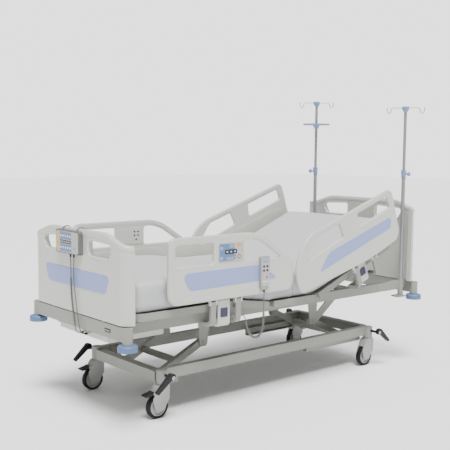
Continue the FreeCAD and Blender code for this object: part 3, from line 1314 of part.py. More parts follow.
def pole_outer(side):
    """The fixed outer tube with the clamp collar at its top."""
    name = f"pole_{side}"
    tube_blank = rod(name + "_tube", "pole_diameter", "pole_top - pole_bottom",
                     ("0", "0", "pole_bottom + 0.3"))
    collar = doc.addObject("Part::Cone", name + "_collar")
    bind(collar, "Radius1", "collar_diameter / 2 - 3")
    bind(collar, "Radius2", "collar_diameter / 2")
    bind(collar, "Height", "collar_height")
    put(collar, ("0", "0", "pole_top - collar_height + 6"))
    boss = rod(name + "_boss", "14", "collar_diameter / 2 + 6",
               ("0", "0", "pole_top - collar_height / 2 + 6"), "X")
    bore = rod(name + "_bore", "rod_diameter + 2 * running_fit", "pole_top", ("0", "0", "pole_bottom + 40"))
    boss_bore = rod(name + "_boss_bore", "8.1", "60", ("2", "0", "pole_top - collar_height / 2 + 6"), "X")
    whole = cut(name + "_whole", fuse(name + "_blank", [tube_blank, collar, boss]), [bore, boss_bore])
    turn(whole, (0, 0, 1), KNOB_TURN[side])
    put(whole, ("pole_x", f"{SIDES[side]} * pole_y", "0"))
    return node(whole, f"iv_pole_{side}")


KNOB_TURN = {"near": "-20", "far": "150"}
HOOK_TURN = {"near": "-60", "far": "-42"}


def pole_knob(side):
    """The wing screw that clamps the rod."""
    name = f"pole_knob_{side}"
    screw = rod(name + "_screw", "8", "12", ("collar_diameter / 2 - 5", "0", "0"), "X")
    grip = rod(name + "_grip", "knob_diameter / 2", "knob_length - 8",
               ("collar_diameter / 2 + 6.3", "0", "0"), "X")
    wing = Form(name + "_wing")
    wing.pad("XZ_Plane", [
        ("collar_diameter / 2 + 10", "-knob_diameter / 2 + 3", "3"),
        ("collar_diameter / 2 + knob_length - 4", "-knob_diameter / 2 - 2", "5"),
        ("collar_diameter / 2 + knob_length - 4", "knob_diameter / 2 + 2", "5"),
        ("collar_diameter / 2 + 10", "knob_diameter / 2 - 3", "3"),
    ], "-2.5", "5")
    whole = fuse(name + "_whole", [screw, grip, wing.body])
    turn(whole, (0, 0, 1), KNOB_TURN[side])
    put(whole, ("pole_x", f"{SIDES[side]} * pole_y", "pole_top - collar_height / 2 + 6"))
    return node(whole, f"iv_knob_{side}")


def pole_rod(side):
    """The sliding rod with a moulded head and two wire hooks; the far one also holds a round tray."""
    name = f"pole_rod_{side}"
    rise = "far_rod_rise" if side == "far" else "0"
    top = f"(rod_top + {rise})"
    items = [rod(name + "_tube", "rod_diameter", f"{top} - (rod_bottom + {rise})",
                 ("0", "0", f"rod_bottom + {rise}"))]
    neck = doc.addObject("Part::Cone", name + "_neck")
    bind(neck, "Radius1", "rod_diameter / 2 + 2")
    bind(neck, "Radius2", "head_diameter / 2")
    bind(neck, "Height", "18")
    put(neck, ("0", "0", f"{top} - 18"))
    items += [neck, rod(name + "_head", "head_diameter", "16", ("0", "0", top))]
    if side == "far":
        tray_low = f"{top} - tray_drop"
        under = doc.addObject("Part::Cone", name + "_tray_neck")
        bind(under, "Radius1", "rod_diameter / 2 + 3")
        bind(under, "Radius2", "rod_diameter + 6")
        bind(under, "Height", "26")
        put(under, ("0", "0", f"{tray_low} - 26"))
        items += [under, rod(name + "_tray", "tray_diameter", "9", ("0", "0", tray_low))]
    rise_value = size("far_rod_rise") if side == "far" else 0
    z = size("rod_top") + rise_value + 8
    wire = size("hook_wire")
    reach = size("hook_span") / 2
    bow = size("hook_radius")
    hooks = []
    for hand in (-1, 1):
        hooks.append(tube(f"{name}_hook_{hand + 1}", [
            (hand * 12, 0, z), (hand * (reach - bow), 0, z), (hand * (reach - bow + 2), 0, z - 12 - bow),
            (hand * (reach + 2), 0, z - 14 - 1.6 * bow), (hand * (reach + bow), 0, z - 8 - bow),
            (hand * (reach + bow - 2), 0, z + 4),
        ], wire))
    whole = fuse(name + "_whole", items + hooks)
    turn(whole, (0, 0, 1), HOOK_TURN[side])
    put(whole, ("pole_x", f"{SIDES[side]} * pole_y", "0"))
    return node(whole, f"iv_rod_{side}")


for side in SIDES:
    pole_outer(side)
    pole_knob(side)
    pole_rod(side)


# Electric actuators under the platform

def actuators():
    """Two spindle drives that hang under the cross members, each with its motor."""
    bodies = []
    for name, y, low, high in (("back", "80", "-230", "470"), ("thigh", "-90", "-330", "60")):
        length = f"{high} - ({low})"
        tube_z = f"({RAIL_Z} - seat_gap - 22)"
        parts = [rod(f"drive_{name}_tube", "44", length, (low, y, tube_z), "X"),
                 rod(f"drive_{name}_nut", "52", "60", (f"{low} + 60", y, f"{tube_z} - 6"), "X")]
        motor = Form(f"drive_{name}_motor")
        motor.pad("XZ_Plane", [
            (f"{low} - 10", f"{tube_z} - 78", "26"), (f"{low} + 96", f"{tube_z} - 78", "20"),
            (f"{low} + 120", f"{tube_z} + 14", "8"), (f"{low} - 10", f"{tube_z} + 14", "10"),
        ], f"{y} - 38", "76")
        parts.append(motor.body)
        bodies.append(fuse(f"drive_{name}", parts))
    return node(group("drives", bodies), "actuators")


actuators()


# Checks and files

doc.recompute()
for item in doc.Objects:
    if "Invalid" in item.State or "Error" in item.State:
        raise ValueError(f"{item.Name} failed: {item.State}")
for item in nodes:
    if item.Shape.isNull() or not item.Shape.isValid() or not item.Shape.Solids:
        raise ValueError(f"{item.Label} has no valid shape")

os.makedirs("parts", exist_ok=True)
for item in nodes:
    item.Shape.exportStep(f"parts/{item.Label}.step")
whole = Part.makeCompound([item.Shape for item in nodes])
bounds = whole.BoundBox
print(f"{len(nodes)} nodes")
print(f"X {bounds.XMin:.2f} {bounds.XMax:.2f}  Y {bounds.YMin:.2f} {bounds.YMax:.2f}  "
      f"Z {bounds.ZMin:.2f} {bounds.ZMax:.2f}")
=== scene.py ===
"""Looks of an intensive care bed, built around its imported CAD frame. All sizes are metres in that frame."""

import math

import bmesh
import bpy
import numpy as np
from mathutils import Matrix, Vector


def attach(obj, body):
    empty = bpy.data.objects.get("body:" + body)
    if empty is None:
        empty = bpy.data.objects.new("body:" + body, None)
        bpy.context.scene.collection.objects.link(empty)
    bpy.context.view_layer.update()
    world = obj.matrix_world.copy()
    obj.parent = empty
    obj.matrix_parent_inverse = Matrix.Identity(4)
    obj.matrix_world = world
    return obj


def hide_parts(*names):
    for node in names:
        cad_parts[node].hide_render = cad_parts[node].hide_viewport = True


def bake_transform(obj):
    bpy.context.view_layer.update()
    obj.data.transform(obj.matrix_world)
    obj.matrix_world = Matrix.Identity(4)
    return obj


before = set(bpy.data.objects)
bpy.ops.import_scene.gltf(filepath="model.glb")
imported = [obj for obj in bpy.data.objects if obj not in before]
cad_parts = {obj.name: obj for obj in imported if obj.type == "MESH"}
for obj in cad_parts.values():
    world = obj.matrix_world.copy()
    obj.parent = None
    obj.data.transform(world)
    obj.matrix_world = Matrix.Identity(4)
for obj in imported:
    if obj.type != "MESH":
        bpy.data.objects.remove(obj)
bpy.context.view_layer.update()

bl_info = {
    "name": "Care bed looks",
    "version": (1, 0, 0),
    "blender": (4, 5, 0),
    "location": "3D View > Sidebar > Care bed",
    "description": "Dresses the packed frame of an intensive care bed",
    "category": "Object",
}

SIDES = {"near": -1, "far": 1}
ENDS = {"foot": -1, "head": 1}
SEAT_GAP = 0.0003
RAIL_INNER = {"foot": 0.452, "back": 0.4755}
RAIL_THICKNESS = 0.021
BACK_HINGE = (0.198, 0.530)
BACK_ANGLE = math.radians(21.5)
CASTER_X, CASTER_Y = 0.820, 0.317
QUARTER = math.pi / 2
FULL_TURN = 2 * math.pi


def length(label, words, default, low, high):
    """A length that a user can change."""
    return bpy.props.FloatProperty(name=label, description=words, default=default, min=low, max=high,
                                   precision=4, unit="LENGTH")


def colour(label, words, default):
    """A colour that a user can change."""
    return bpy.props.FloatVectorProperty(name=label, description=words, default=default, size=3,
                                         min=0.0, max=1.0, subtype="COLOR")


class BedColours(bpy.types.PropertyGroup):
    """Colours of the finishes."""
    coat: colour("Frame coat", "Powder coat of the steel frames", (0.27, 0.27, 0.245))
    shell: colour("Shell", "Moulded boards and rails", (0.58, 0.58, 0.535))
    insert: colour("Insert", "Tinted inserts of boards and rails", (0.28, 0.34, 0.62))
    bumper: colour("Bumper", "Wall bumper rollers", (0.10, 0.165, 0.32))
    fitting: colour("Pole fittings", "Collars, knobs, heads and tray", (0.19, 0.30, 0.50))
    cover: colour("Mattress cover", "Coated knit of the mattress", (0.52, 0.525, 0.54))
    rubber: colour("Rubber", "Tyres and lever grips", (0.012, 0.0125, 0.014))
    steel: colour("Steel", "Brushed poles and wire hooks", (0.34, 0.34, 0.345))
    button: colour("Release button", "Square latch buttons", (0.030, 0.030, 0.085))
    cord: colour("Cord", "Jacket of the leads", (0.13, 0.13, 0.12))


class BedSizes(bpy.types.PropertyGroup):
    """Sizes of the pieces that the frame leaves open."""
    foam_thickness: length("Mattress thickness", "Thickness of the foam", 0.158, 0.08, 0.25)
    foam_width: length("Mattress width", "Width of the foam", 0.850, 0.6, 1.0)
    foam_corner: length("Mattress corner", "Round of the mattress corners in plan", 0.045, 0.01, 0.1)
    rim_width: length("Rim width", "Width of the tubular rim of a rail", 0.036, 0.02, 0.05)
    rim_proud: length("Rim rise", "How far the rim stands off a rail's face", 0.0009, 0.0, 0.002)
    cord_diameter: length("Cord diameter", "Outer diameter of a lead", 0.005, 0.003, 0.01)


# Meshes from arrays

def mesh_object(name, points, faces, smooth=True):
    """An object at the origin from an array of points and a list of faces."""
    mesh = bpy.data.meshes.new(name)
    mesh.from_pydata(np.asarray(points, dtype=float).tolist(), [], faces)
    mesh.polygons.foreach_set("use_smooth", np.full(len(mesh.polygons), smooth))
    mesh.update()
    return placed(name, mesh)


def placed(name, data):
    """An object that holds the given data, linked into the scene at the origin."""
    item = bpy.data.objects.new(name, data)
    bpy.context.scene.collection.objects.link(item)
    return item


def grid_object(name, grid, closed=False):
    """A surface from a grid of points whose rows are rings. Quads join each row to the next. A closed grid's
    last row joins its first, and otherwise one flat face caps each end."""
    rows, columns, _ = grid.shape
    i, j = np.meshgrid(np.arange(rows if closed else rows - 1), np.arange(columns), indexing="ij")
    i2 = (i + 1) % rows
    j2 = (j + 1) % columns
    quads = np.stack([i * columns + j, i * columns + j2, i2 * columns + j2, i2 * columns + j], -1)
    faces = quads.reshape(-1, 4).tolist()
    if not closed:
        faces.append(list(range(columns))[::-1])
        faces.append([(rows - 1) * columns + k for k in range(columns)])
    item = mesh_object(name, grid.reshape(-1, 3), faces)
    mend_normals(item.data)
    return item


def mend_normals(mesh):
    """Turns every face outwards."""
    work = bmesh.new()
    work.from_mesh(mesh)
    bmesh.ops.remove_doubles(work, verts=work.verts, dist=1e-7)
    bmesh.ops.recalc_face_normals(work, faces=work.faces)
    work.to_mesh(mesh)
    work.free()


def sharp_by_angle(item, degrees):
    """Keeps edges crisp where two faces meet at more than an angle."""
    item.data.set_sharp_from_angle(angle=math.radians(degrees))
    return item


def joined(name, items):
    """One object from several, all at the origin."""
    base = items[0]
    with bpy.context.temp_override(active_object=base, selected_editable_objects=items, object=base,
                                   selected_objects=items):
        if len(items) > 1:
            bpy.ops.object.join()
    base.name = name
    base.data.name = name
    return base


def rounded_loop(corners, steps):
    """A closed outline of an array of points. Each corner is (a, b, radius), and its round is an arc that
    touches both sides: it starts at radius * tan(half turn) before the corner and ends as far after it.
    An arc has about so many steps for a turn of one radian."""
    spots = np.array([c[:2] for c in corners], dtype=float)
    runs = []
    for k, (_, _, radius) in enumerate(corners):
        into = spots[k] - spots[k - 1]
        out = spots[(k + 1) % len(spots)] - spots[k]
        into /= np.linalg.norm(into)
        out /= np.linalg.norm(out)
        turn = math.acos(max(-1.0, min(1.0, float(into @ out))))
        if radius < 1e-6 or turn < 1e-3:
            runs.append(spots[k][None])
            continue
        reach = radius * math.tan(turn / 2)
        t = np.linspace(0, turn, max(2, int(steps * (0.4 + turn))))[:, None]
        side = math.copysign(1.0, into[0] * out[1] - into[1] * out[0])
        normal = side * np.array([-into[1], into[0]])
        centre = spots[k] - into * reach + normal * radius
        runs.append(centre + radius * (into * np.sin(t) - normal * np.cos(t)))
    return np.concatenate(runs)


def even_loop(loop, count):
    """The same closed outline with points an even distance apart."""
    closed = np.vstack([loop, loop[:1]])
    along = np.r_[0, np.cumsum(np.linalg.norm(np.diff(closed, axis=0), axis=1))]
    t = np.linspace(0, along[-1], count, endpoint=False)
    return np.stack([np.interp(t, along, closed[:, k]) for k in range(closed.shape[1])], -1)


def inward(loop):
    """Unit normals of a closed outline, towards its inside."""
    ahead = np.roll(loop, -1, axis=0) - np.roll(loop, 1, axis=0)
    ahead /= np.linalg.norm(ahead, axis=1)[:, None]
    area = np.sum(loop[:, 0] * np.roll(loop[:, 1], -1) - loop[:, 1] * np.roll(loop[:, 0], -1))
    return math.copysign(1.0, area) * np.stack([-ahead[:, 1], ahead[:, 0]], -1)


def plate(name, loop, place, thickness, edge, crown=0.0):
    """A plate with a rounded front edge. Row by row the outline goes up its side, round a quarter circle of
    radius edge, and then shrinks to a share r of itself with a rise of crown * (1 - r * r)."""
    normals = inward(loop)
    middle = loop.mean(axis=0)
    t = np.linspace(0, QUARTER, 5)
    rows = [(loop, 0.0)]
    rows += [(loop + normals * edge * (1 - math.cos(a)), thickness - edge + edge * math.sin(a)) for a in t]
    top = loop + normals * edge
    rows += [(middle + (top - middle) * r, thickness + crown * (1 - r * r)) for r in (0.8, 0.55, 0.3, 0.08)]
    grid = np.stack([place(np.column_stack([flat, np.full(len(flat), h)])) for flat, h in rows])
    return sharp_by_angle(grid_object(name, grid), 50)


def carried(path, across, up, half_width, half_height, sides, exponent):
    """A grid of a section carried along a path. The section is a superellipse: a = width * cos(t)^exponent
    and b = height * sin(t)^exponent, with their signs kept. Its a axis is across, one vector for each point
    of the path, and its b axis is up, the same everywhere."""
    t = np.linspace(0, FULL_TURN, sides, endpoint=False)
    a = half_width * np.sign(np.cos(t)) * np.abs(np.cos(t)) ** exponent
    b = half_height * np.sign(np.sin(t)) * np.abs(np.sin(t)) ** exponent
    return path[:, None] + across[:, None] * a[None, :, None] + up * b[None, :, None]


def turned(name, profile, centre, axis, sides, ring=False):
    """A surface of revolution: each profile point (r, h) goes round a circle of radius r at height h.
    A ring's profile is a closed line, so it has no caps."""
    profile = np.array(profile, dtype=float)
    t = np.linspace(0, FULL_TURN, sides, endpoint=False)
    a = profile[:, :1] * np.cos(t)
    b = profile[:, :1] * np.sin(t)
    height = np.broadcast_to(profile[:, 1:], a.shape)
    order = {"Z": (a, b, height), "Y": (a, height, b), "X": (height, a, b)}
    grid = np.stack(order[axis], -1) + np.array(centre)
    return sharp_by_angle(grid_object(name, grid, closed=ring), 40)


def face_place(axis_u, axis_v, normal, origin):
    """A function that lays flat points (u, v, height) on a plane in space."""
    basis = np.array([axis_u, axis_v, normal], dtype=float)
    origin = np.array(origin, dtype=float)
    return lambda flat: flat @ basis + origin


def rail_place(section, side, face):
    """The plane of a rail's outer or inner face."""
    sign = SIDES[side]
    off = RAIL_INNER[section] + (RAIL_THICKNESS if face == "outer" else 0.0)
    normal = sign if face == "outer" else -sign
    if section == "foot":
        return face_place((1, 0, 0), (0, 0, 1), (0, normal, 0), (0, sign * off, 0))
    c, s = math.cos(BACK_ANGLE), math.sin(BACK_ANGLE)
    return face_place((c, 0, s), (-s, 0, c), (0, normal, 0), (BACK_HINGE[0], sign * off, BACK_HINGE[1]))


# Shader groups and finishes

def new_group(name, inputs, outputs):
    """A shader node group with named inputs, each (name, kind, default), and named outputs, each (name,
    kind). Returns its tree, its inputs' sockets inside and its outputs' sockets inside."""
    tree = bpy.data.node_groups.new(name, "ShaderNodeTree")
    for words, kind, default in inputs:
        socket = tree.interface.new_socket(name=words, in_out="INPUT", socket_type="NodeSocket" + kind)
        socket.default_value = default
    for words, kind in outputs:
        tree.interface.new_socket(name=words, in_out="OUTPUT", socket_type="NodeSocket" + kind)
    return tree, tree.nodes.new("NodeGroupInput").outputs, tree.nodes.new("NodeGroupOutput").inputs


def add_node(tree, kind, inputs, **settings):
    """A node with its settings, each input of it set to a value or linked from another node's socket."""
    node = tree.nodes.new("ShaderNode" + kind)
    for words, value in settings.items():
        setattr(node, words, value)
    for words, value in inputs.items():
        socket = node.inputs[words]
        if isinstance(value, bpy.types.NodeSocket):
            tree.links.new(value, socket)
        else:
            socket.default_value = value
    return node


def maths(tree, operation, *values):
    """The result of a maths node on sockets or plain numbers."""
    return add_node(tree, "Math", dict(enumerate(values)), operation=operation).outputs[0]


def object_place(tree):
    """The Object coordinates, which keep a pattern at its real size."""
    return add_node(tree, "TexCoord", {}).outputs["Object"]


def noise(tree, at, scale, detail):
    """Noise of a given scale, in waves to a unit, and so many finer layers on it."""
    return add_node(tree, "TexNoise", {"Vector": at, "Scale": scale, "Detail": detail}).outputs["Fac"]


def surface_life_group():
    """Colour * (1 + Cloud * (broad noise - 0.5)), Roughness + Smudge * middling noise, and Grain * fine noise
    as the height, all from Object coordinates."""
    inputs = [("Colour", "Color", (0.8, 0.8, 0.8, 1.0)), ("Cloud", "Float", 0.05),
              ("Roughness", "Float", 0.45), ("Smudge", "Float", 0.08), ("Grain size", "Float", 900.0),
              ("Grain", "Float", 0.3)]
    outputs = [("Colour", "Color"), ("Roughness", "Float"), ("Height", "Float")]
    tree, start, end = new_group("surface_life", inputs, outputs)
    at = object_place(tree)
    cloud_scale, smudge_scale = 3.1, 17.0
    cloud = noise(tree, at, cloud_scale, 5.0)
    smudge = noise(tree, at, smudge_scale, 6.0)
    grain = noise(tree, at, start["Grain size"], 2.0)
    swing = maths(tree, "MULTIPLY_ADD", maths(tree, "SUBTRACT", cloud, 0.5), start["Cloud"], 1.0)
    tone = add_node(tree, "VectorMath", {}, operation="SCALE")
    tree.links.new(start["Colour"], tone.inputs[0])
    tree.links.new(swing, tone.inputs["Scale"])
    tree.links.new(tone.outputs[0], end["Colour"])
    tree.links.new(maths(tree, "MULTIPLY_ADD", smudge, start["Smudge"], start["Roughness"]), end["Roughness"])
    tree.links.new(maths(tree, "MULTIPLY", grain, start["Grain"]), end["Height"])


def brushed_lines_group():
    """Long fine scratches: noise on Object coordinates that are stretched along one axis."""
    inputs = [("Stretch", "Vector", (1.0, 1.0, 1.0)), ("Scratch", "Float", 0.16),
              ("Roughness", "Float", 0.25)]
    tree, start, end = new_group("brushed_lines", inputs, [("Roughness", "Float"), ("Height", "Float")])
    stretch = add_node(tree, "VectorMath", {0: object_place(tree), 1: start["Stretch"]}, operation="MULTIPLY")
    lines = noise(tree, stretch.outputs[0], 1.0, 4.0)
    tree.links.new(maths(tree, "MULTIPLY_ADD", lines, start["Scratch"], start["Roughness"]), end["Roughness"])
    tree.links.new(lines, end["Height"])


def shader(name, **values):
    """A new material, its tree and its Principled shader, with values set on the shader's own sockets."""
    material = bpy.data.materials.new(name)
    material.use_nodes = True
    principled = material.node_tree.nodes["Principled BSDF"]
    for words, value in values.items():
        principled.inputs[words.replace("_", " ")].default_value = value
    return material, material.node_tree, principled


def placed_group(tree, group, values):
    """A shader node group in a material, with its inputs set."""
    node = tree.nodes.new("ShaderNodeGroup")
    node.node_tree = bpy.data.node_groups[group]
    for words, value in values.items():
        node.inputs[words].default_value = value
    return node.outputs


def bump(tree, principled, height, distance):
    """Bump of a real depth, in metres, on the shader's Normal."""
    node = add_node(tree, "Bump", {"Height": height, "Distance": distance, "Strength": 1.0})
    tree.links.new(node.outputs["Normal"], principled.inputs["Normal"])


def lively_base(tree, principled, base, values):
    """The surface_life group on a shader's colour and roughness. Returns its height."""
    life = placed_group(tree, "surface_life", {"Colour": (*base, 1.0), **values})
    tree.links.new(life["Colour"], principled.inputs["Base Color"])
    tree.links.new(life["Roughness"], principled.inputs["Roughness"])
    return life["Height"]


def lively(name, base, roughness, cloud, smudge, grain_size, grain, depth, specular=0.5, coat=0.0):
    """A moulded or painted finish: its middle roughness, how cloudy and smudged it is, and its grain."""
    material, tree, principled = shader(name, Specular_IOR_Level=specular, Coat_Weight=coat,
                                        Coat_Roughness=0.2)
    height = lively_base(tree, principled, base, {"Cloud": cloud, "Roughness": roughness - smudge / 2,
                                                  "Smudge": smudge, "Grain size": grain_size, "Grain": grain})
    bump(tree, principled, height, depth)
    return material


def brushed(name, base, roughness, stretch, metallic):
    """A brushed metal from the brushed_lines group."""
    scratch_depth = 0.00001
    material, tree, principled = shader(name, Base_Color=(*base, 1.0), Metallic=metallic)
    lines = placed_group(tree, "brushed_lines", {"Stretch": stretch, "Roughness": roughness})
    tree.links.new(lines["Roughness"], principled.inputs["Roughness"])
    bump(tree, principled, lines["Height"], scratch_depth)
    return material


def knitted(name, base):
    """Coated knit: the product of two crossed rib waves, over soft broad creases."""
    material, tree, principled = shader(name, Sheen_Weight=0.15)
    creases = lively_base(tree, principled, base, {"Cloud": 0.05, "Roughness": 0.5, "Smudge": 0.12,
                                                   "Grain size": 9.0, "Grain": 1.0})
    rib_scale, rib_height, depth = 160.0, 0.08, 0.003
    at = object_place(tree)
    ribs = [add_node(tree, "TexWave", {"Vector": at, "Scale": rib_scale}, bands_direction=way).outputs["Fac"]
            for way in ("X", "Y")]
    relief = maths(tree, "MULTIPLY_ADD", maths(tree, "MULTIPLY", *ribs), rib_height, creases)
    bump(tree, principled, relief, depth)
    return material


def build_finishes(colours):
    """Every finish of the bed, by name. A lively finish gives its colour, roughness, cloud, smudge, grain
    size, grain and bump depth in that order, and a brushed one its colour, roughness, stretch and metal."""
    surface_life_group()
    brushed_lines_group()
    return {
        "coat": lively("powder_coat", colours.coat, 0.42, 0.06, 0.10, 1400.0, 0.35, 0.00012, coat=0.08),
        "shell": lively("moulded_shell", colours.shell, 0.36, 0.04, 0.10, 700.0, 0.30, 0.00016, coat=0.12),
        "insert": lively("tinted_insert", colours.insert, 0.42, 0.05, 0.08, 900.0, 0.25, 0.00010),
        "bumper": lively("bumper_roller", colours.bumper, 0.48, 0.10, 0.12, 800.0, 0.30, 0.00015),
        "fitting": lively("pole_fitting", colours.fitting, 0.35, 0.05, 0.08, 900.0, 0.20, 0.00008, coat=0.2),
        "cover": knitted("mattress_cover", colours.cover),
        "rubber": lively("black_rubber", colours.rubber, 0.62, 0.25, 0.18, 600.0, 0.50, 0.0002, 0.25),
        "lever": lively("black_lever", (0.012, 0.0125, 0.014), 0.48, 0.20, 0.12, 700.0, 0.30, 0.0001, 0.3),
        "hub": lively("wheel_hub", (0.36, 0.37, 0.36), 0.42, 0.08, 0.12, 700.0, 0.25, 0.0001),
        "fork": lively("caster_fork", (0.34, 0.345, 0.33), 0.38, 0.06, 0.10, 900.0, 0.25, 0.0001, coat=0.1),
        "steel": brushed("brushed_pole", colours.steel, 0.34, (500.0, 500.0, 2.0), 0.55),
        "pin": brushed("turned_pin", (0.45, 0.45, 0.46), 0.26, (500.0, 20.0, 500.0), 1.0),
        "button": lively("release_button", colours.button, 0.42, 0.10, 0.10, 900.0, 0.25, 0.0001),
        "case": lively("handset_case", (0.30, 0.31, 0.31), 0.40, 0.05, 0.10, 1200.0, 0.40, 0.00015),
        "case_side": lively("panel_case", (0.13, 0.133, 0.135), 0.40, 0.08, 0.10, 1200.0, 0.40, 0.00015),
        "case_dark": lively("drive_housing", (0.028, 0.029, 0.032), 0.45, 0.15, 0.15, 700.0, 0.40, 0.0002),
        # Near-black painted shade for slots: the rails' drain slots and the foot beam's label slot are flat
        # plates in this colour, not openings
        "gap": lively("dark_gap", (0.014, 0.014, 0.016), 0.7, 0.10, 0.10, 500.0, 0.30, 0.0001),
        "cord": lively("cord_jacket", colours.cord, 0.48, 0.08, 0.12, 900.0, 0.30, 0.0001),
        "membrane": lively("membrane_grey", (0.44, 0.45, 0.43), 0.32, 0.03, 0.06, 1500.0, 0.20, 0.00005),
        "membrane_blue": lively("membrane_blue", (0.105, 0.195, 0.36), 0.32, 0.04, 0.06, 1500.0, 0.2, 5e-5),
        "membrane_light": lively("membrane_light", (0.24, 0.31, 0.46), 0.32, 0.04, 0.06, 1500.0, 0.2, 5e-5),
        "key_dark": lively("key_dark", (0.018, 0.024, 0.036), 0.35, 0.10, 0.08, 1200.0, 0.20, 0.00006),
        "key_white": lively("key_white", (0.80, 0.82, 0.83), 0.32, 0.03, 0.06, 1200.0, 0.20, 0.00006),
        "key_red": lively("key_red", (0.70, 0.05, 0.035), 0.32, 0.06, 0.06, 1200.0, 0.20, 0.00006),
        "key_amber": lively("key_amber", (0.72, 0.33, 0.06), 0.32, 0.06, 0.06, 1200.0, 0.20, 0.00006),
        "key_yellow": lively("key_yellow", (0.62, 0.42, 0.13), 0.32, 0.06, 0.06, 1200.0, 0.20, 0.00006),
    }


FINISHES = {}
NODE_FINISHES = {
    "caster_fork": "fork", "caster_toe_tab": "lever", "foot_brake_bar": "lever", "head_brake_bar": "lever",
    "base_frame": "coat", "foot_lift_arms": "coat", "head_lift_arms": "coat", "upper_frame": "coat",
    "seat_section": "coat", "back_section": "coat", "thigh_section": "coat", "leg_section": "coat",
    "bumper_roller": "bumper", "footboard": "shell", "headboard": "shell", "side_rail": "shell",
    "rail_arms": "coat", "rail_lock": "shell", "release_button": "button", "iv_pole": "steel",
    "iv_rod": "steel", "iv_knob": "fitting", "nurse_panel": "case_side", "handset": "case",
    "control_box": "shell", "actuators": "case_dark", "caster_wheel": "rubber", "mattress": "cover",
}


def dress(piece, finish, body=None):
    """Gives a piece its finish and, when one is named, the body that it moves with."""
    piece.data.materials.clear()
    piece.data.materials.append(FINISHES[finish])
    if body:
        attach(piece, body)


class BED_OT_finishes(bpy.types.Operator):
    """Builds the finishes and gives each node of the frame whose name starts with a listed prefix its own"""
    bl_idname = "bed.finishes"
    bl_label = "Finishes"

    def execute(self, context):
        FINISHES.update(build_finishes(context.scene.bed_colours))
        for name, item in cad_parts.items():
            finish = next((f for start, f in NODE_FINISHES.items() if name.startswith(start)), None)
            if finish is None:
                continue
            for slot in item.material_slots:
                slot.material = FINISHES[finish]
        return {"FINISHED"}


# Mattress

DECK_TOP = 0.5433
DECK_GAP = 0.003
SEAT_MIDDLE = 0.015
SEAT_END = -0.168
THIGH_LENGTH = 0.258
THIGH_ANGLE = math.radians(8.6)
END_INSET = 0.009
LEG_LENGTH = 0.643
BACK_LENGTH = 0.745
FOAM_FOOT = SEAT_END - SEAT_MIDDLE - THIGH_LENGTH - LEG_LENGTH + END_INSET
FOAM_KNEE = SEAT_END - SEAT_MIDDLE - THIGH_LENGTH / 2
FOAM_HEAD = BACK_HINGE[0] - SEAT_MIDDLE + BACK_LENGTH - END_INSET


def smooth_step(t):
    """3 t^2 - 2 t^3, held at 0 below t = 0 and at 1 above t = 1."""
    t = np.clip(t, 0.0, 1.0)
    return t * t * (3 - 2 * t)


def foam_line(s):
    """The foam's underside in side view at arc length s from the middle of the seat, and its slope there.
    The slope turns by a smooth step over each hinge of the platform, and the line is its integral."""
    hinge = BACK_HINGE[0] - SEAT_MIDDLE
    hip = SEAT_END - SEAT_MIDDLE
    knee = hip - THIGH_LENGTH
    back_reach, thigh_reach = 0.15, 0.07
    slope = BACK_ANGLE * smooth_step((s - hinge + back_reach) / (2 * back_reach))
    slope = slope - THIGH_ANGLE * smooth_step((hip + thigh_reach - s) / (2 * thigh_reach))
    slope = slope + THIGH_ANGLE * smooth_step((knee + thigh_reach - s) / (2 * thigh_reach))
    step = np.diff(s)
    middle = (slope[1:] + slope[:-1]) / 2
    x = np.r_[0.0, np.cumsum(step * np.cos(middle))]
    z = np.r_[0.0, np.cumsum(step * np.sin(middle))]
    origin = np.argmin(np.abs(s))
    return x - x[origin] + SEAT_MIDDLE, z - z[origin] + DECK_TOP + DECK_GAP, slope


def foam_section(width, thickness):
    """Half-crowned cross section: a rounded rectangle whose top rises by crown * (1 - (2 y / width)^2)."""
    half = width / 2
    crown, low_round, top_round = 0.005, 0.014, 0.028
    corners = [(-half, 0.0, low_round), (half, 0.0, low_round), (half, thickness - crown, top_round),
               (-half, thickness - crown, top_round)]
    loop = even_loop(rounded_loop(corners, 10), 72)
    rise = crown * (1 - (loop[:, 0] / half) ** 2) * (loop[:, 1] > thickness / 2)
    return np.column_stack([loop[:, 0], loop[:, 1] + rise])


def foam_piece(name, low, high, sizes):
    """One stretch of the mattress between two arc lengths. At the mattress's ends each section shrinks by
    R - sqrt(R^2 - (R - e)^2), with e the distance from the end, so that the plan corners are round, and its
    height by a share of that. Where the line bends, creases wave the top by a sine of the arc length."""
    s_all = np.linspace(FOAM_FOOT, FOAM_HEAD, 1400)
    x_all, z_all, slope_all = foam_line(s_all)
    radius = sizes.foam_corner
    spacing, height_share = 0.012, 0.35
    crease_height, crease_bend, crease_waves = 0.0016, 2.5, 260
    into = radius * (1 - np.cos(np.linspace(0, QUARTER, 9)))
    ends = [(end, way) for end, way in ((FOAM_FOOT, 1), (FOAM_HEAD, -1)) if end in (low, high)]
    stops = [np.arange(low, high, spacing), [low, high]] + [end + way * into for end, way in ends]
    s = np.unique(np.round(np.concatenate(stops), 6))
    x, z, slope = (np.interp(s, s_all, v)[:, None] for v in (x_all, z_all, slope_all))
    section = foam_section(sizes.foam_width, sizes.foam_thickness)[None]
    e = np.min([np.full(len(s), radius)] + [np.abs(s - end) for end, _ in ends], axis=0)
    shrink = (radius - np.sqrt(np.maximum(radius ** 2 - (radius - e) ** 2, 0)))[:, None]
    upwards = section[..., 1] / sizes.foam_thickness
    y = section[..., 0] * (1 - shrink / (sizes.foam_width / 2))
    height = section[..., 1] - shrink * height_share * upwards
    bend = np.abs(np.gradient(slope[:, 0], s))[:, None]
    height = height + crease_height * bend / crease_bend * np.sin(s[:, None] * crease_waves) * upwards ** 2
    grid = np.stack([x - height * np.sin(slope), y, z + height * np.cos(slope)], -1)
    return grid_object(name, grid)


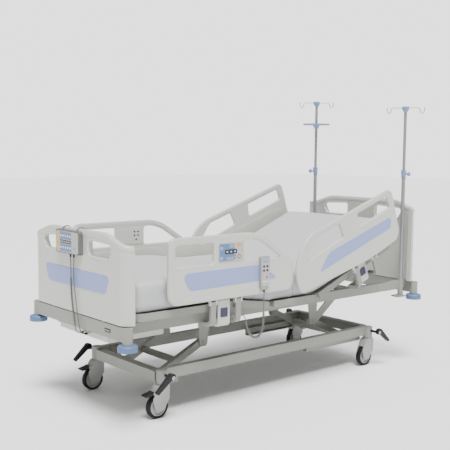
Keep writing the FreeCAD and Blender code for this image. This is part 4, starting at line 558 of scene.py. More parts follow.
class BED_OT_mattress(bpy.types.Operator):
    """Mattress that follows the platform's hinges"""
    bl_idname = "bed.mattress"
    bl_label = "Mattress"

    def execute(self, context):
        # Each piece from its foot to its head, the nodes it stands for, two bodies, and where along the bed a
        # blend between them would start and end; this step neither blends nor attaches the pieces to these
        # bodies
        parts = (
            ("foam_head", 0.0, FOAM_HEAD, ("mattress_back", "mattress_seat"), "upper", "back", 0.065, 0.34),
            ("foam_middle", FOAM_KNEE, 0.0, ("mattress_thigh",), "thigh", "upper", -0.26, -0.08),
            ("foam_foot", FOAM_FOOT, FOAM_KNEE, ("mattress_leg",), "leg", "thigh", -0.53, -0.33),
        )
        for name, low, high, nodes, first, second, start, end in parts:
            piece = foam_piece(name, low, high, context.scene.bed_sizes)
            dress(piece, "cover")
            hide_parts(*nodes)
            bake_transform(piece)
        return {"FINISHED"}


# Casters

WHEEL_RADIUS = 0.0625
TYRE_HALF = 0.016
CASTER_TRAIL = 0.032
CENTRE_FLAT = 0.0008


def arc_points(centre, radius, start, end, count):
    """Points (r, h) of a circle arc between two angles in degrees."""
    t = np.radians(np.linspace(start, end, count))
    return [(centre[0] + radius * math.cos(a), centre[1] + radius * math.sin(a)) for a in t]


def tyre_profile():
    """A closed line (r, h): a round shoulder at each side, and between them a tread of half width 11 mm that
    falls by 3 mm * v^2, with v from -1 to 1 across it."""
    bead, shoulder, round_radius = 0.0485, 0.0565, 0.006
    tread = [(WHEEL_RADIUS - 0.003 * v * v, v * (TYRE_HALF - 0.005)) for v in np.linspace(-1, 1, 7)]
    left = arc_points((shoulder, -TYRE_HALF + round_radius), round_radius, -150, -40, 5)
    right = arc_points((shoulder, TYRE_HALF - round_radius), round_radius, 40, 150, 5)
    return [(bead, -TYRE_HALF + 0.002), *left, *tread, *right, (bead, TYRE_HALF - 0.002)]


class BED_OT_wheels(bpy.types.Operator):
    """Tyre, hub and axle caps of every caster"""
    bl_idname = "bed.wheels"
    bl_label = "Caster wheels"

    def execute(self, context):
        dish = [(CENTRE_FLAT, -0.0150), (0.0120, -0.0150), (0.0135, -0.0138), (0.0150, -0.0085),
                (0.0300, -0.0072), (0.0400, -0.0085), (0.0425, -0.0135), (0.0470, -0.0148), (0.0486, -0.0135)]
        hub_line = dish + [(r, -h) for r, h in dish[::-1]]
        cap = [(0.0115, 0.0150), (0.0115, 0.0170), (0.0100, 0.0182), (0.0060, 0.0187), (CENTRE_FLAT, 0.0188)]
        for end, x_sign in ENDS.items():
            for side, y_sign in SIDES.items():
                centre = (x_sign * CASTER_X - CASTER_TRAIL, y_sign * CASTER_Y, WHEEL_RADIUS)
                tag = f"{end}_{side}"
                body = f"wheel_{tag}"
                tyre = turned(f"tyre_{tag}", tyre_profile(), centre, "Y", 72, ring=True)
                dress(tyre, "rubber", body)
                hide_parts(f"caster_wheel_{tag}")
                dress(turned(f"hub_{tag}", hub_line, centre, "Y", 56), "hub", body)
                caps = [turned(f"cap_{tag}_{face + 1}", [(r, face * h) for r, h in cap], centre, "Y", 24)
                        for face in (-1, 1)]
                dress(joined(f"axle_caps_{tag}", caps), "pin", body)
        return {"FINISHED"}


# Rails and boards. A back rail's points are in the plane of the back section, from its hinge.

FOOT_LEFT, FOOT_RIGHT, FOOT_LOW, FOOT_HIGH = -0.893, -0.028, 0.606, 0.946
BACK_LEFT, BACK_RIGHT, BACK_LOW, BACK_HIGH = -0.155, 0.784, 0.030, 0.394
GRIP_FLOOR = FOOT_LOW + 0.192
BACK_FLOOR = BACK_LOW + 0.230
RAIL_OUTLINES = {
    "foot": [(FOOT_LEFT, FOOT_LOW, 0.060), (FOOT_RIGHT, FOOT_LOW, 0.056),
             (FOOT_RIGHT, FOOT_LOW + 0.168, 0.104), (FOOT_RIGHT - 0.262, FOOT_HIGH, 0.300),
             (FOOT_LEFT, FOOT_HIGH, 0.044)],
    "back": [(BACK_LEFT, BACK_LOW + 0.074, 0.045), (BACK_LEFT + 0.615, BACK_LOW, 0.300),
             (BACK_RIGHT - 0.012, BACK_LOW, 0.078), (BACK_RIGHT, BACK_HIGH - 0.034, 0.044),
             (BACK_LEFT, BACK_HIGH + 0.010, 0.232)],
}
GRIP_OUTLINES = {
    "foot": [
        [(FOOT_LEFT + 0.042, GRIP_FLOOR, 0.016), (FOOT_LEFT + 0.288, GRIP_FLOOR, 0.016),
         (FOOT_LEFT + 0.288, FOOT_HIGH - 0.038, 0.016), (FOOT_LEFT + 0.042, FOOT_HIGH - 0.038, 0.020)],
        [(FOOT_RIGHT - 0.372, GRIP_FLOOR, 0.016), (FOOT_RIGHT - 0.062, GRIP_FLOOR, 0.012),
         (FOOT_RIGHT - 0.262, FOOT_HIGH - 0.038, 0.190), (FOOT_RIGHT - 0.372, FOOT_HIGH - 0.038, 0.016)],
    ],
    "back": [
        [(BACK_LEFT + 0.094, BACK_FLOOR, 0.010), (BACK_LEFT + 0.440, BACK_FLOOR, 0.014),
         (BACK_LEFT + 0.428, BACK_HIGH - 0.038, 0.016), (BACK_LEFT + 0.245, BACK_HIGH - 0.032, 0.100)],
        [(BACK_LEFT + 0.576, BACK_FLOOR, 0.014), (BACK_LEFT + 0.890, BACK_LOW + 0.222, 0.016),
         (BACK_LEFT + 0.884, BACK_HIGH - 0.066, 0.016), (BACK_LEFT + 0.596, BACK_HIGH - 0.046, 0.016)],
    ],
}
RAIL_INSERTS = {
    "foot": [(FOOT_LEFT + 0.080, FOOT_LOW + 0.158, 0.024), (FOOT_LEFT + 0.128, FOOT_LOW + 0.066, 0.044),
             (FOOT_RIGHT - 0.116, FOOT_LOW + 0.076, 0.010), (FOOT_RIGHT - 0.262, FOOT_LOW + 0.162, 0.150)],
    "back": [(BACK_LEFT + 0.168, BACK_LOW + 0.126, 0.008), (BACK_LEFT + 0.862, BACK_LOW + 0.100, 0.044),
             (BACK_LEFT + 0.874, BACK_LOW + 0.166, 0.024), (BACK_LEFT + 0.290, BACK_LOW + 0.202, 0.090)],
}
INSERT_HEIGHT, INSERT_EDGE = 0.0006, 0.0005
SLOT_MIDDLE = {"foot": (-0.518, GRIP_FLOOR), "back": (0.412, BACK_FLOOR)}


def rim_ring(name, corners, place, half, inside, proud, thickness=RAIL_THICKNESS):
    """The tubular rim along an outline: a superellipse carried half its width inside or outside the line."""
    loop = even_loop(rounded_loop(corners, 14), 260)
    normals = inward(loop)
    centre = loop + normals * (half if inside else -half)
    flat = np.column_stack([centre, np.full(len(centre), -thickness / 2)])
    path = place(flat)
    across = place(np.column_stack([centre + normals, flat[:, 2]])) - path
    up = place(np.array([[0.0, 0.0, 1.0]]))[0] - place(np.array([[0.0, 0.0, 0.0]]))[0]
    grid = carried(path, across, up, half, thickness / 2 + proud, 20, 2 / 2.3)
    return grid_object(name, grid, closed=True)


def box_corners(middle, size, radius):
    """The corners of a rectangle about its middle, all with one radius."""
    (a, b), (w, h) = middle, (size[0] / 2, size[1] / 2)
    return [(a - w, b - h, radius), (a + w, b - h, radius), (a + w, b + h, radius), (a - w, b + h, radius)]


class BED_OT_rails(bpy.types.Operator):
    """Tubular rims, tinted inserts and inner panels of the side rails, and their drain slots as near-black
    plates of painted shade
    """
    bl_idname = "bed.rails"
    bl_label = "Side rails"

    def execute(self, context):
        sizes = context.scene.bed_sizes
        grip_half, grip_proud, panel_margin = 0.008, 0.0004, 0.006
        slot_drop, slot_shift = 0.146, 0.10
        for section in RAIL_INNER:
            for side in SIDES:
                tag = f"{section}_{side}"
                body = f"rail_{tag}"
                outer = rail_place(section, side, "outer")
                inner = rail_place(section, side, "inner")
                rims = [rim_ring(f"rim_{tag}", RAIL_OUTLINES[section], outer, sizes.rim_width / 2, True,
                                 sizes.rim_proud)]
                for count, grip in enumerate(GRIP_OUTLINES[section]):
                    rims.append(rim_ring(f"grip_{tag}_{count}", grip, outer, grip_half, False, grip_proud))
                dress(joined(f"rail_rim_{tag}", rims), "shell", body)
                loop = even_loop(rounded_loop(RAIL_INSERTS[section], 14), 160)
                dress(plate(f"rail_insert_{tag}", loop, outer, INSERT_HEIGHT, INSERT_EDGE), "insert", body)
                wider = loop - inward(loop) * panel_margin
                dress(plate(f"rail_inner_panel_{tag}", wider, inner, 0.0008, 0.0007), "shell", body)
                middle, floor = SLOT_MIDDLE[section]
                # Each drain slot is a thin near-black plate on the inner face; its colour is painted shade
                # standing in for the slot's hollow
                slots = []
                for count, shift in enumerate((-slot_shift, slot_shift)):
                    corners = box_corners((middle + shift, floor - slot_drop), (0.022, 0.008), 0.004)
                    line = rounded_loop(corners, 5)
                    slots.append(plate(f"slot_{tag}_{count}", line, inner, 0.0011, 0.0003))
                dress(joined(f"rail_slots_{tag}", slots), "gap", body)
        return {"FINISHED"}


# How far out each board's face stands, and how high its top
BOARD_FACES = {"foot": (1.138, 0.972), "head": (1.130, 1.062)}
BOARD_THICKNESS = 0.030
BOARD_HALF = 0.455
BOARD_BEND = 0.059
BAR_HALF = 0.0205
BAR_PROUD = 0.0024
BAR_LIFT = 0.0012
TOP_ARC = 0.260
TOP_FLAT = 0.2389
TOP_ARC_END = 0.3191
TOP_FALL_START = 0.280
TOP_FALL = 0.060 / 0.185
BEAM_FACE = 1.136
BEAM_PLATE = (0.300, 0.497)


def crown_line(y, top):
    """The height of a board's top: level in the middle, then an arc, then a straight slope to the side."""
    y = np.abs(y)
    arc = top - TOP_ARC + np.sqrt(np.maximum(TOP_ARC ** 2 - (y - TOP_FLAT) ** 2, 0.0))
    slope = top - (y - TOP_FALL_START) * TOP_FALL
    return np.where(y < TOP_FLAT, top, np.where(y < TOP_ARC_END, arc, slope))


def top_bar(name, sign, face, top):
    """The tubular top of a board. Its path follows the middle of the board's wall: straight across, then a
    quarter circle of radius bend less half the wall at each side. The section is a superellipse."""
    radius = BOARD_BEND - BOARD_THICKNESS / 2
    straight = BOARD_HALF - BOARD_BEND
    turn = np.linspace(QUARTER, 0, 12)
    side = np.stack([-radius * (1 - np.cos(turn)), straight + radius * np.sin(turn)], -1)
    flat = np.stack([np.zeros(60), np.linspace(straight, -straight, 62)[1:-1]], -1)
    plan = np.concatenate([side, flat, side[::-1] * (1, -1)])
    ahead = np.stack([np.cos(turn), np.sin(turn)], -1)
    normal = np.concatenate([ahead, np.tile((1.0, 0.0), (60, 1)), ahead[::-1] * (1, -1)])
    height = crown_line(plan[:, 1], top) - BAR_HALF + BAR_LIFT
    path = np.column_stack([sign * (face - BOARD_THICKNESS / 2 + plan[:, 0]), plan[:, 1], height])
    across = np.column_stack([sign * normal[:, 0], normal[:, 1], np.zeros(len(plan))])
    up = np.array([0.0, 0.0, 1.0])
    return grid_object(name, carried(path, across, up, BOARD_THICKNESS / 2 + BAR_PROUD, BAR_HALF, 24, 0.85))


class BED_OT_boards(bpy.types.Operator):
    """Tinted inserts, top bars and grip rims of the boards, and on the foot beam a near-black plate of
    painted shade for its label slot, with three white dots
    """
    bl_idname = "bed.boards"
    bl_label = "Boards"

    def execute(self, context):
        insert_seat, grip_half, grip_proud = 0.001, 0.007, 0.0022
        for end, sign in ENDS.items():
            face, top = BOARD_FACES[end]
            body = f"{end}board"
            high, low = top - 0.206, top - 0.300
            outline = [(-0.325, high, 0.020), (-0.285, low, 0.030), (0.285, low, 0.030), (0.325, high, 0.020)]
            loop = even_loop(rounded_loop(outline, 12), 160)
            for which, at, normal in (("outer", sign * (face + insert_seat), sign),
                                      ("inner", sign * (face - BOARD_THICKNESS - insert_seat), -sign)):
                place = face_place((0, 1, 0), (0, 0, 1), (normal, 0, 0), (at, 0, 0))
                insert = plate(f"{end}board_insert_{which}", loop, place, INSERT_HEIGHT, INSERT_EDGE)
                dress(insert, "insert", body)
            place = face_place((0, 1, 0), (0, 0, 1), (sign, 0, 0), (sign * face, 0, 0))
            bars = [top_bar(f"{end}board_bar", sign, face, top)]
            for side, way in SIDES.items():
                hole = [(way * 0.122, top - 0.046, 0.020), (way * 0.122, top - 0.124, 0.024),
                        (way * 0.310, top - 0.124, 0.024), (way * 0.350, top - 0.058, 0.020)]
                bars.append(rim_ring(f"{end}board_grip_{side}", hole, place, grip_half, False, grip_proud,
                                     BOARD_THICKNESS))
            dress(joined(f"{end}board_rims", bars), "shell", body)
        place = face_place((0, -1, 0), (0, 0, 1), (-1, 0, 0), (-BEAM_FACE, 0, 0))
        # The foot beam's label slot is a near-black plate whose colour is painted shade of the recess; three
        # white dots sit on it
        rows = [("gap", "plate", (0.0, 0.0), (0.052, 0.018), 0.0012, 0.0, 0.12)]
        rows += [("key_white", f"dot_{count}", (0.014 * count - 0.014, 0.0), (0.007, 0.006), 0.0004, 0.0011,
                  0.5) for count in range(3)]
        keypad("beam", "upper", moved(place, *BEAM_PLATE), rows)
        return {"FINISHED"}


# Controls

NURSE_PANEL_DEPTH = 0.026
NURSE_PANEL_MIDDLE = (-0.042, 0.901)
HANDSET_DEPTH = 0.019
HANDSET_X = -0.262
HANDSET_TOP = 0.812
KEYPAD_MIDDLE = (-0.4925, 0.852)


def moved(place, a, b, height=0.0):
    """The same plane with its origin moved along its own axes."""
    shift = np.array([a, b, height])
    return lambda flat: place(flat + shift)


def key(name, middle, size, place, height, base, corner):
    """One round-cornered key on a face: its middle, its width and height, its thickness, how far its base
    stands off the face, and the radius of its corners as a share of its smaller side."""
    radius = min(size) * corner
    loop = rounded_loop(box_corners(middle, size, radius), 8)
    edge = min(height * 0.45, radius * 0.5, 0.0012)
    return plate(name, loop, moved(place, 0.0, 0.0, base), height, edge, height * 0.15)


def ring(name, middle, radius, place, base):
    """A printed ring: a flat annulus, a third of its radius wide, that stands 0.3 mm off its base."""
    t = np.linspace(0, FULL_TURN, 32, endpoint=False)
    circle = np.stack([np.cos(t), np.sin(t)], -1)
    hole, height = radius * 0.68, 0.0003
    rows = [(radius, 0.0), (radius, height), (hole, height), (hole, 0.0)]
    flat = [np.column_stack([np.array(middle) + circle * r, np.full(len(t), base + h)]) for r, h in rows]
    return grid_object(name, np.stack([place(row) for row in flat]), closed=True)


def keypad(prefix, body, place, rows):
    """Makes the keys of one pad, joins those of one finish and dresses them. A row is a key's finish, name,
    middle, size, thickness, base and corner, or a ring's finish, name, middle, radius and base."""
    groups = {}
    for finish, name, middle, size, *rest in rows:
        make = key if isinstance(size, tuple) else ring
        groups.setdefault(finish, []).append(make(f"{prefix}_{name}", middle, size, place, *rest))
    for finish, items in groups.items():
        dress(joined(f"{prefix}_{finish}", items), finish, body)


class BED_OT_keypads(bpy.types.Operator):
    """Membrane keypads on the middle posts of the foot end rails, outside and inside"""
    bl_idname = "bed.keypads"
    bl_label = "Rail keypads"

    def execute(self, context):
        outer = [
            ("membrane", "base", (0.0, 0.0), (0.172, 0.100), 0.0022, 0.0, 0.12),
            ("membrane_blue", "zone", (-0.029, 0.0), (0.104, 0.090), 0.0004, 0.0021, 0.1),
            ("membrane_light", "top_zone", (0.004, 0.032), (0.034, 0.022), 0.0003, 0.0024, 0.1),
            ("membrane_light", "low_zone", (-0.008, -0.034), (0.050, 0.016), 0.0003, 0.0024, 0.1),
            ("key_dark", "bar", (-0.002, 0.002), (0.084, 0.024), 0.0007, 0.0023, 0.12),
            ("key_amber", "amber", (0.054, 0.034), (0.028, 0.016), 0.0008, 0.0021, 0.3),
            ("key_white", "top_ring", (-0.066, 0.022), 0.0075, 0.0023),
            ("key_white", "low_ring", (-0.066, -0.030), 0.0075, 0.0023),
            ("key_dark", "left_ring", (0.022, -0.026), 0.0115, 0.0022),
            ("key_dark", "right_ring", (0.054, -0.026), 0.0115, 0.0022),
        ]
        outer += [("key_white", f"led{count}", (-0.028 + 0.026 * count, 0.002), (0.010, 0.006), 0.0003,
                   0.0029, 0.3) for count in range(3)]
        spots = ((0.020, 0.026), (0.046, 0.026), (0.020, 0.004), (0.046, 0.004), (0.033, -0.022))
        inner = [("shell", "base", (0.0, 0.0), (0.172, 0.100), 0.0022, 0.0, 0.12)]
        inner += [("key_dark", f"key{count}", spot, (0.013, 0.010), 0.0006, 0.0021, 0.4)
                  for count, spot in enumerate(spots)]
        for side in SIDES:
            for prefix, face, rows in (("keypad", "outer", outer), ("patient_pad", "inner", inner)):
                place = moved(rail_place("foot", side, face), *KEYPAD_MIDDLE)
                keypad(f"{prefix}_{side}", f"rail_foot_{side}", place, rows)
        return {"FINISHED"}


class BED_OT_nurse_panel(bpy.types.Operator):
    """Face of the hung control panel"""
    bl_idname = "bed.nurse_panel"
    bl_label = "Nurse panel"

    def execute(self, context):
        front = -(BOARD_FACES["foot"][0] + SEAT_GAP + NURSE_PANEL_DEPTH)
        place = face_place((0, -1, 0), (0, 0, 1), (-1, 0, 0), (front, 0, 0))
        rows = [
            ("membrane", "face", (0.0, 0.0), (0.222, 0.108), 0.0010, 0.0, 0.12),
            ("key_yellow", "strip", (-0.091, 0.0), (0.032, 0.100), 0.0004, 0.0010, 0.15),
            ("key_yellow", "ring", (0.076, 0.024), 0.0175, 0.0010),
            ("membrane_blue", "zone_top", (-0.012, 0.031), (0.118, 0.038), 0.0004, 0.0010, 0.12),
            ("membrane_blue", "zone_low", (-0.012, -0.031), (0.118, 0.038), 0.0004, 0.0010, 0.12),
            ("key_dark", "bar", (-0.012, 0.0), (0.118, 0.018), 0.0006, 0.0010, 0.12),
            ("membrane_light", "dot", (0.076, -0.026), (0.020, 0.020), 0.0006, 0.0010, 0.5),
        ]
        rows += [("key_white", f"key_{row}_{column}", (-0.060 + 0.024 * column, b), (0.012, 0.012), 0.0005,
                  0.0014, 0.5) for row, b in enumerate((0.030, -0.030)) for column in range(5)]
        rows += [("key_white", f"led_{column}", (-0.060 + 0.0192 * column, 0.0), (0.007, 0.005), 0.0003,
                  0.0016, 0.3) for column in range(6)]
        keypad("panel", "nurse_panel", moved(place, *NURSE_PANEL_MIDDLE), rows)
        return {"FINISHED"}


class BED_OT_handset(bpy.types.Operator):
    """Keys of the patient's handset"""
    bl_idname = "bed.handset"
    bl_label = "Handset"

    def execute(self, context):
        front = -(RAIL_INNER["foot"] + RAIL_THICKNESS + SEAT_GAP + HANDSET_DEPTH)
        place = face_place((1, 0, 0), (0, 0, 1), (0, -1, 0), (0, front, 0))
        rows = [
            ("membrane", "face", (0.0, -0.086), (0.054, 0.150), 0.0006, 0.0, 0.2),
            ("membrane_light", "window", (0.0, -0.026), (0.040, 0.020), 0.0004, 0.0006, 0.2),
            ("key_red", "red", (0.010, -0.112), (0.014, 0.014), 0.0014, 0.0006, 0.5),
            ("membrane_blue", "top_led", (-0.014, -0.098), (0.006, 0.004), 0.0004, 0.0006, 0.3),
            ("membrane_blue", "low_led", (-0.014, -0.116), (0.006, 0.004), 0.0004, 0.0006, 0.3),
            ("key_white", "left", (-0.011, -0.136), (0.014, 0.007), 0.0008, 0.0006, 0.3),
            ("key_white", "right", (0.011, -0.136), (0.014, 0.007), 0.0008, 0.0006, 0.3),
        ]
        rows += [("key_dark", f"key_{row}_{column}", (a, b), (0.015, 0.012), 0.0014, 0.0006, 0.3)
                 for row, b in enumerate((-0.054, -0.076)) for column, a in enumerate((-0.012, 0.012))]
        keypad("handset", "handset", moved(place, HANDSET_X, HANDSET_TOP), rows)
        return {"FINISHED"}


# Leads

HANDSET_COIL_RADIUS, HANDSET_COIL_PITCH = 0.0045, 0.0062
PANEL_COIL_RADIUS, PANEL_COIL_PITCH = 0.0035, 0.0060
HANDSET_Y = -0.4828
PANEL_X = -1.1513
PANEL_LOW = 0.840
COIL_Y, STRAND_Y = 0.028, -0.006
BEAM_ENTRY_X, BEAM_ENTRY_Z = -1.1103, 0.434
COIL_ENTRY_Y, STRAND_ENTRY_Y = -0.022, -0.062
FRAME_ENTRY = (-0.390, -0.3943, 0.499)


def route(name, points, diameter):
    """A smooth cord: a NURBS curve of order 3 with the route's points as its control points."""
    data = bpy.data.curves.new(name, "CURVE")
    data.dimensions = "3D"
    data.resolution_u = 6
    spline = data.splines.new("NURBS")
    spline.points.add(len(points) - 1)
    flat = np.column_stack([np.array(points), np.ones(len(points))]).ravel()
    spline.points.foreach_set("co", flat)
    spline.order_u = 3
    spline.use_endpoint_u = True
    data.bevel_depth = diameter / 2
    data.bevel_resolution = 4
    data.use_fill_caps = True
    return placed(name, data)


def line_of(points):
    """The smooth line of a route, read from its NURBS curve with no bevel."""
    guide = route("guide", points, 0.0)
    guide.data.resolution_u = 24
    mesh = bpy.data.meshes.new_from_object(guide)
    line = np.array([v.co for v in mesh.vertices])
    bpy.data.objects.remove(guide)
    bpy.data.meshes.remove(mesh)
    return line


def curly(points, radius, pitch):
    """Control points of a helix round a route: at arc length s the point stands off the line by
    radius * (n cos(2 pi s / pitch) + b sin(2 pi s / pitch)), with radius easing in and out over 1.5 turns."""
    points_per_turn, ease_turns = 12, 1.5
    line = line_of(points)
    along = np.r_[0, np.cumsum(np.linalg.norm(np.diff(line, axis=0), axis=1))]
    turns = round(along[-1] / pitch)
    s = np.linspace(0, along[-1], turns * points_per_turn + 1)
    middle = np.stack([np.interp(s, along, line[:, k]) for k in range(3)], -1)
    tangent = np.gradient(middle, axis=0)
    tangent /= np.linalg.norm(tangent, axis=1)[:, None]
    side = np.cross(tangent, (0.0, 1.0, 0.0))
    side /= np.linalg.norm(side, axis=1)[:, None]
    other = np.cross(tangent, side)
    phase = (FULL_TURN * turns * s / along[-1])[:, None]
    ease = smooth_step(np.minimum(s, along[-1] - s) / (ease_turns * pitch))[:, None]
    return middle + radius * ease * (side * np.cos(phase) + other * np.sin(phase))


def free_cord(name, points, diameter, nodes, body):
    """A hanging cord along its control points, in the place of the frame's cord nodes."""
    cord = route(name, points, diameter)
    dress(cord, "cord", body)
    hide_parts(*nodes)


class BED_OT_cords(bpy.types.Operator):
    """Curly cord of the handset, curly cord and plain strand of the nurse panel"""
    bl_idname = "bed.cords"
    bl_label = "Cords"

    def execute(self, context):
        diameter = context.scene.bed_sizes.cord_diameter
        x, y = HANDSET_X, HANDSET_Y
        lead = [(x, y, 0.630), (x, y, 0.602), (-0.263, y, 0.568), (-0.264, y, 0.538)]
        coil = [(-0.264, y, 0.514), (-0.264, y, 0.466), (-0.268, y, 0.416), (-0.290, y + 0.002, 0.378),
                (-0.330, y + 0.006, 0.374), (-0.362, y + 0.010, 0.404), (-0.376, y + 0.012, 0.438),
                (-0.382, y + 0.013, 0.472)]
        tail = [(-0.38465, y + 0.01344, 0.487), (-0.387, y + 0.022, 0.498), (-0.389, y + 0.040, 0.501),
                (-0.390, y + 0.064, 0.499), FRAME_ENTRY]
        curls = curly(coil, HANDSET_COIL_RADIUS, HANDSET_COIL_PITCH).tolist()
        free_cord("handset_cord", lead + curls + tail, diameter,
                  ("handset_cord_coil", "handset_cord_leads"), "rail_foot_near")
        x, y = PANEL_X, COIL_Y
        lead = [(x, y, PANEL_LOW), (x, y, 0.810), (x, 0.026, 0.778)]
        coil = [(x, 0.026, 0.722), (x, 0.026, 0.680), (x - 0.001, 0.018, 0.622), (x, 0.008, 0.562),
                (x, -0.006, 0.508), (x, -0.014, 0.468)]
        tail = [(x, -0.018, 0.448), (x + 0.011, COIL_ENTRY_Y, BEAM_ENTRY_Z),
                (BEAM_ENTRY_X, COIL_ENTRY_Y, BEAM_ENTRY_Z)]
        curls = curly(coil, PANEL_COIL_RADIUS, PANEL_COIL_PITCH).tolist()
        free_cord("panel_cord", lead + curls + tail, diameter, ("nurse_cord_coil",),
                  "upper")
        y = STRAND_Y
        strand = [(x, y, PANEL_LOW), (x, y, 0.814), (x, -0.002, 0.778), (x, -0.001, 0.730),
                  (x, -0.008, 0.670), (x, -0.020, 0.610), (x, -0.034, 0.550), (x, -0.050, 0.492),
                  (x + 0.002, -0.058, 0.456), (x + 0.013, STRAND_ENTRY_Y, BEAM_ENTRY_Z),
                  (BEAM_ENTRY_X, STRAND_ENTRY_Y, BEAM_ENTRY_Z)]
        free_cord("panel_strand", strand, diameter, ("nurse_cord_leads",), "upper")
        return {"FINISHED"}


class BED_OT_fittings(bpy.types.Operator):
    """Caps on the elbows of the brake levers, and sleeves where the leads leave and enter"""
    bl_idname = "bed.fittings"
    bl_label = "Caps and sleeves"

    def execute(self, context):
        elbow_y, elbow_z = 0.4178, 0.225
        cap = [(CENTRE_FLAT, 0.0), (0.0110, 0.0), (0.0110, 0.0012), (0.0098, 0.0024), (0.0050, 0.0030),
               (CENTRE_FLAT, 0.0031)]
        for end, x_sign in ENDS.items():
            caps = []
            for side, sign in SIDES.items():
                centre = (x_sign * CASTER_X, sign * elbow_y, elbow_z)
                caps.append(turned(f"elbow_{end}_{side}", [(r, sign * h) for r, h in cap], centre, "Y", 28))
            dress(joined(f"{end}_lever_caps", caps), "fork", f"{end}_brake_bar")
        sleeve = [(CENTRE_FLAT, 0.0), (0.0052, 0.0), (0.0058, -0.0010), (0.0058, -0.0040), (0.0036, -0.0170),
                  (CENTRE_FLAT, -0.0172)]
        beam_face, frame_face, handset_low = -1.1098, -0.3942, 0.6302
        places = (
            ("panel_sleeve_coil", (PANEL_X, COIL_Y, PANEL_LOW), "Z", "nurse_panel"),
            ("panel_sleeve_strand", (PANEL_X, STRAND_Y, PANEL_LOW), "Z", "nurse_panel"),
            ("beam_sleeve_coil", (beam_face, COIL_ENTRY_Y, BEAM_ENTRY_Z), "X", "upper"),
            ("beam_sleeve_strand", (beam_face, STRAND_ENTRY_Y, BEAM_ENTRY_Z), "X", "upper"),
            ("handset_sleeve", (HANDSET_X, HANDSET_Y, handset_low), "Z", "handset"),
            ("frame_sleeve", (FRAME_ENTRY[0], frame_face, FRAME_ENTRY[2]), "Y", "upper"),
        )
        for name, spot, axis, body in places:
            dress(turned(name, sleeve, spot, axis, 24), "lever", body)
        return {"FINISHED"}


# Drip poles

POLE_X, POLE_Y = 1.054, 0.390
POLE_TOP = 1.252
COLLAR_DROP, COLLAR_RISE = 0.044, 0.006
HEAD_Z = {"near": 1.650, "far": 1.710}
TRAY_DROP = 0.150


def collar_profile(low, high):
    """A closed line (r, h) of the tapered sleeve that clamps a rod at the top of its tube."""
    return [(0.0120, low - 0.0012), (0.0140, low - 0.0012), (0.0147, low), (0.0176, high - 0.003),
            (0.0176, high), (0.0162, high + 0.0012), (0.0108, high + 0.0012), (0.0104, high), (0.0104, low)]


def head_profile(z):
    """The line (r, h) of a pole's head: a cone below, a round bead and a domed top."""
    return ([(CENTRE_FLAT, z - 0.0195), (0.0100, z - 0.0195), (0.0118, z - 0.0185), (0.0210, z - 0.0040)]
            + arc_points((0.0190, z + 0.0025), 0.0036, -30, 0, 4)
            + arc_points((0.0176, z + 0.0120), 0.0050, 0, 90, 7) + [(CENTRE_FLAT, z + 0.0176)])


def tray_profile(z):
    """The line (r, h) of the round tray: a tapered boss, a flat dish and a raised round lip."""
    return ([(CENTRE_FLAT, z - 0.0266), (0.0128, z - 0.0266), (0.0140, z - 0.0250), (0.0262, z - 0.0010),
             (0.0300, z - 0.0006), (0.0900, z - 0.0006)]
            + arc_points((0.0900, z + 0.0030), 0.0036, -90, 0, 5)
            + arc_points((0.0916, z + 0.0090), 0.0020, 0, 180, 6)
            + [(0.0885, z + 0.0094), (0.0150, z + 0.0094), (0.0120, z + 0.0110), (CENTRE_FLAT, z + 0.0110)])


class BED_OT_poles(bpy.types.Operator):
    """Tinted collars, heads and tray of the drip poles"""
    bl_idname = "bed.poles"
    bl_label = "Drip poles"

    def execute(self, context):
        for side, sign in SIDES.items():
            at = (POLE_X, sign * POLE_Y, 0.0)
            profile = collar_profile(POLE_TOP - COLLAR_DROP, POLE_TOP + COLLAR_RISE)
            collar = turned(f"pole_collar_{side}", profile, at, "Z", 40, ring=True)
            dress(collar, "fitting", "upper")
            items = [turned(f"pole_head_{side}", head_profile(HEAD_Z[side]), at, "Z", 40)]
            if side == "far":
                items.append(turned("pole_tray_shell", tray_profile(HEAD_Z[side] - TRAY_DROP), at, "Z", 64))
            dress(joined(f"pole_fittings_{side}", items), "fitting", f"iv_rod_{side}")
        return {"FINISHED"}


# Stage

CAMERA_PLACE = (-3.1967, -3.5911, 1.3858)
CAMERA_AZIMUTH = math.radians(-40.477)
CAMERA_ELEVATION = math.radians(5.447)
CAMERA_ROLL = math.radians(0.543)
CAMERA_LENS = 63.97
CAMERA_SENSOR = 36.0
STUDIO_LIGHT = 0.22
STUDIO_BACKDROP = 2.35
FLOOR_REACH = 30
WHITE = (1.0, 1.0, 1.0, 1.0)
# Each light, the way it shines from, its spread in degrees and its power
SUNS = (
    ("key_light", (-0.20, -0.34, 1.0), 26.0, 6.0),
    ("top_light", (0.1, 0.1, 1.0), 120.0, 1.2),
)


def pale_floor():
    """A wide matt floor at the wheels' height."""
    corners = [(x * FLOOR_REACH, y * FLOOR_REACH, 0) for x, y in ((-1, -1), (1, -1), (1, 1), (-1, 1))]
    floor = mesh_object("floor", corners, [(0, 1, 2, 3)], smooth=False)
    finish, _, _ = shader("pale_floor", Base_Color=(0.95, 0.95, 0.95, 1.0), Roughness=0.85,
                          Specular_IOR_Level=0.2)
    floor.data.materials.append(finish)


def studio_world():
    """Soft white light from all round, and a brighter backdrop where the camera looks past the floor."""
    world = bpy.data.worlds.new("studio")
    world.use_nodes = True
    tree = world.node_tree
    light = tree.nodes["Background"]
    light.inputs["Color"].default_value = WHITE
    light.inputs["Strength"].default_value = STUDIO_LIGHT
    backdrop = add_node(tree, "Background", {"Color": WHITE, "Strength": STUDIO_BACKDROP})
    rays = add_node(tree, "LightPath", {})
    mixed = add_node(tree, "MixShader", {0: rays.outputs["Is Camera Ray"], 1: light.outputs[0],
                                         2: backdrop.outputs[0]})
    tree.links.new(mixed.outputs[0], tree.nodes["World Output"].inputs["Surface"])
    return world


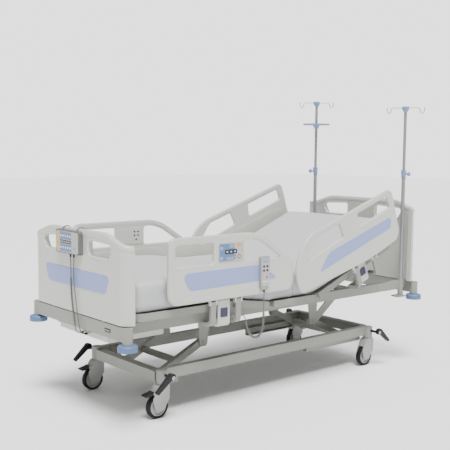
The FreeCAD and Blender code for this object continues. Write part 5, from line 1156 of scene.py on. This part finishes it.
def aimed_camera():
    """The camera from its place and its angles: azimuth round Z, elevation, and roll about its own axis."""
    a, e, r = CAMERA_AZIMUTH, CAMERA_ELEVATION, CAMERA_ROLL
    back = Vector((math.sin(a) * math.cos(e), -math.cos(a) * math.cos(e), math.sin(e)))
    right = Vector((math.cos(a), math.sin(a), 0.0))
    up = back.cross(right)
    right, up = right * math.cos(r) + up * math.sin(r), up * math.cos(r) - right * math.sin(r)
    data = bpy.data.cameras.new("camera")
    data.sensor_width = CAMERA_SENSOR
    data.sensor_fit = "HORIZONTAL"
    data.lens = CAMERA_LENS
    camera = placed("camera", data)
    camera.matrix_world = Matrix.Translation(CAMERA_PLACE) @ Matrix((right, up, back)).transposed().to_4x4()
    return camera


class BED_OT_stage(bpy.types.Operator):
    """Pale floor, soft lights and the camera"""
    bl_idname = "bed.stage"
    bl_label = "Stage"

    def execute(self, context):
        scene = context.scene
        pale_floor()
        scene.world = studio_world()
        for name, toward, spread, power in SUNS:
            data = bpy.data.lights.new(name, "SUN")
            data.angle = math.radians(spread)
            data.energy = power
            lamp = placed(name, data)
            lamp.location = toward
            lamp.rotation_euler = (-Vector(toward)).to_track_quat("-Z", "Y").to_euler()
        scene.camera = aimed_camera()
        return {"FINISHED"}


# Add-on

class BED_PT_panel(bpy.types.Panel):
    """Lists every step of the bed"""
    bl_idname = "BED_PT_panel"
    bl_label = "Care bed"
    bl_space_type = "VIEW_3D"
    bl_region_type = "UI"
    bl_category = "Care bed"

    def draw(self, context):
        layout = self.layout
        for group in (context.scene.bed_colours, context.scene.bed_sizes):
            box = layout.box()
            for words in group.__annotations__:
                box.prop(group, words)
        for step in STEPS:
            layout.operator(step.bl_idname)


STEPS = (BED_OT_finishes, BED_OT_mattress, BED_OT_wheels, BED_OT_rails, BED_OT_boards, BED_OT_keypads,
         BED_OT_nurse_panel, BED_OT_handset, BED_OT_cords, BED_OT_fittings, BED_OT_poles, BED_OT_stage)
CLASSES = (BedColours, BedSizes, *STEPS, BED_PT_panel)


def register():
    """Registers the add-on's classes and its settings."""
    for item in CLASSES:
        bpy.utils.register_class(item)
    bpy.types.Scene.bed_colours = bpy.props.PointerProperty(type=BedColours)
    bpy.types.Scene.bed_sizes = bpy.props.PointerProperty(type=BedSizes)


def unregister():
    """Takes the settings and classes away again."""
    del bpy.types.Scene.bed_sizes
    del bpy.types.Scene.bed_colours
    for item in reversed(CLASSES):
        bpy.utils.unregister_class(item)


def main():
    """Runs every step."""
    register()
    for step in STEPS:
        group, word = step.bl_idname.split(".")
        getattr(getattr(bpy.ops, group), word)()


if __name__ == "__main__":
    main()
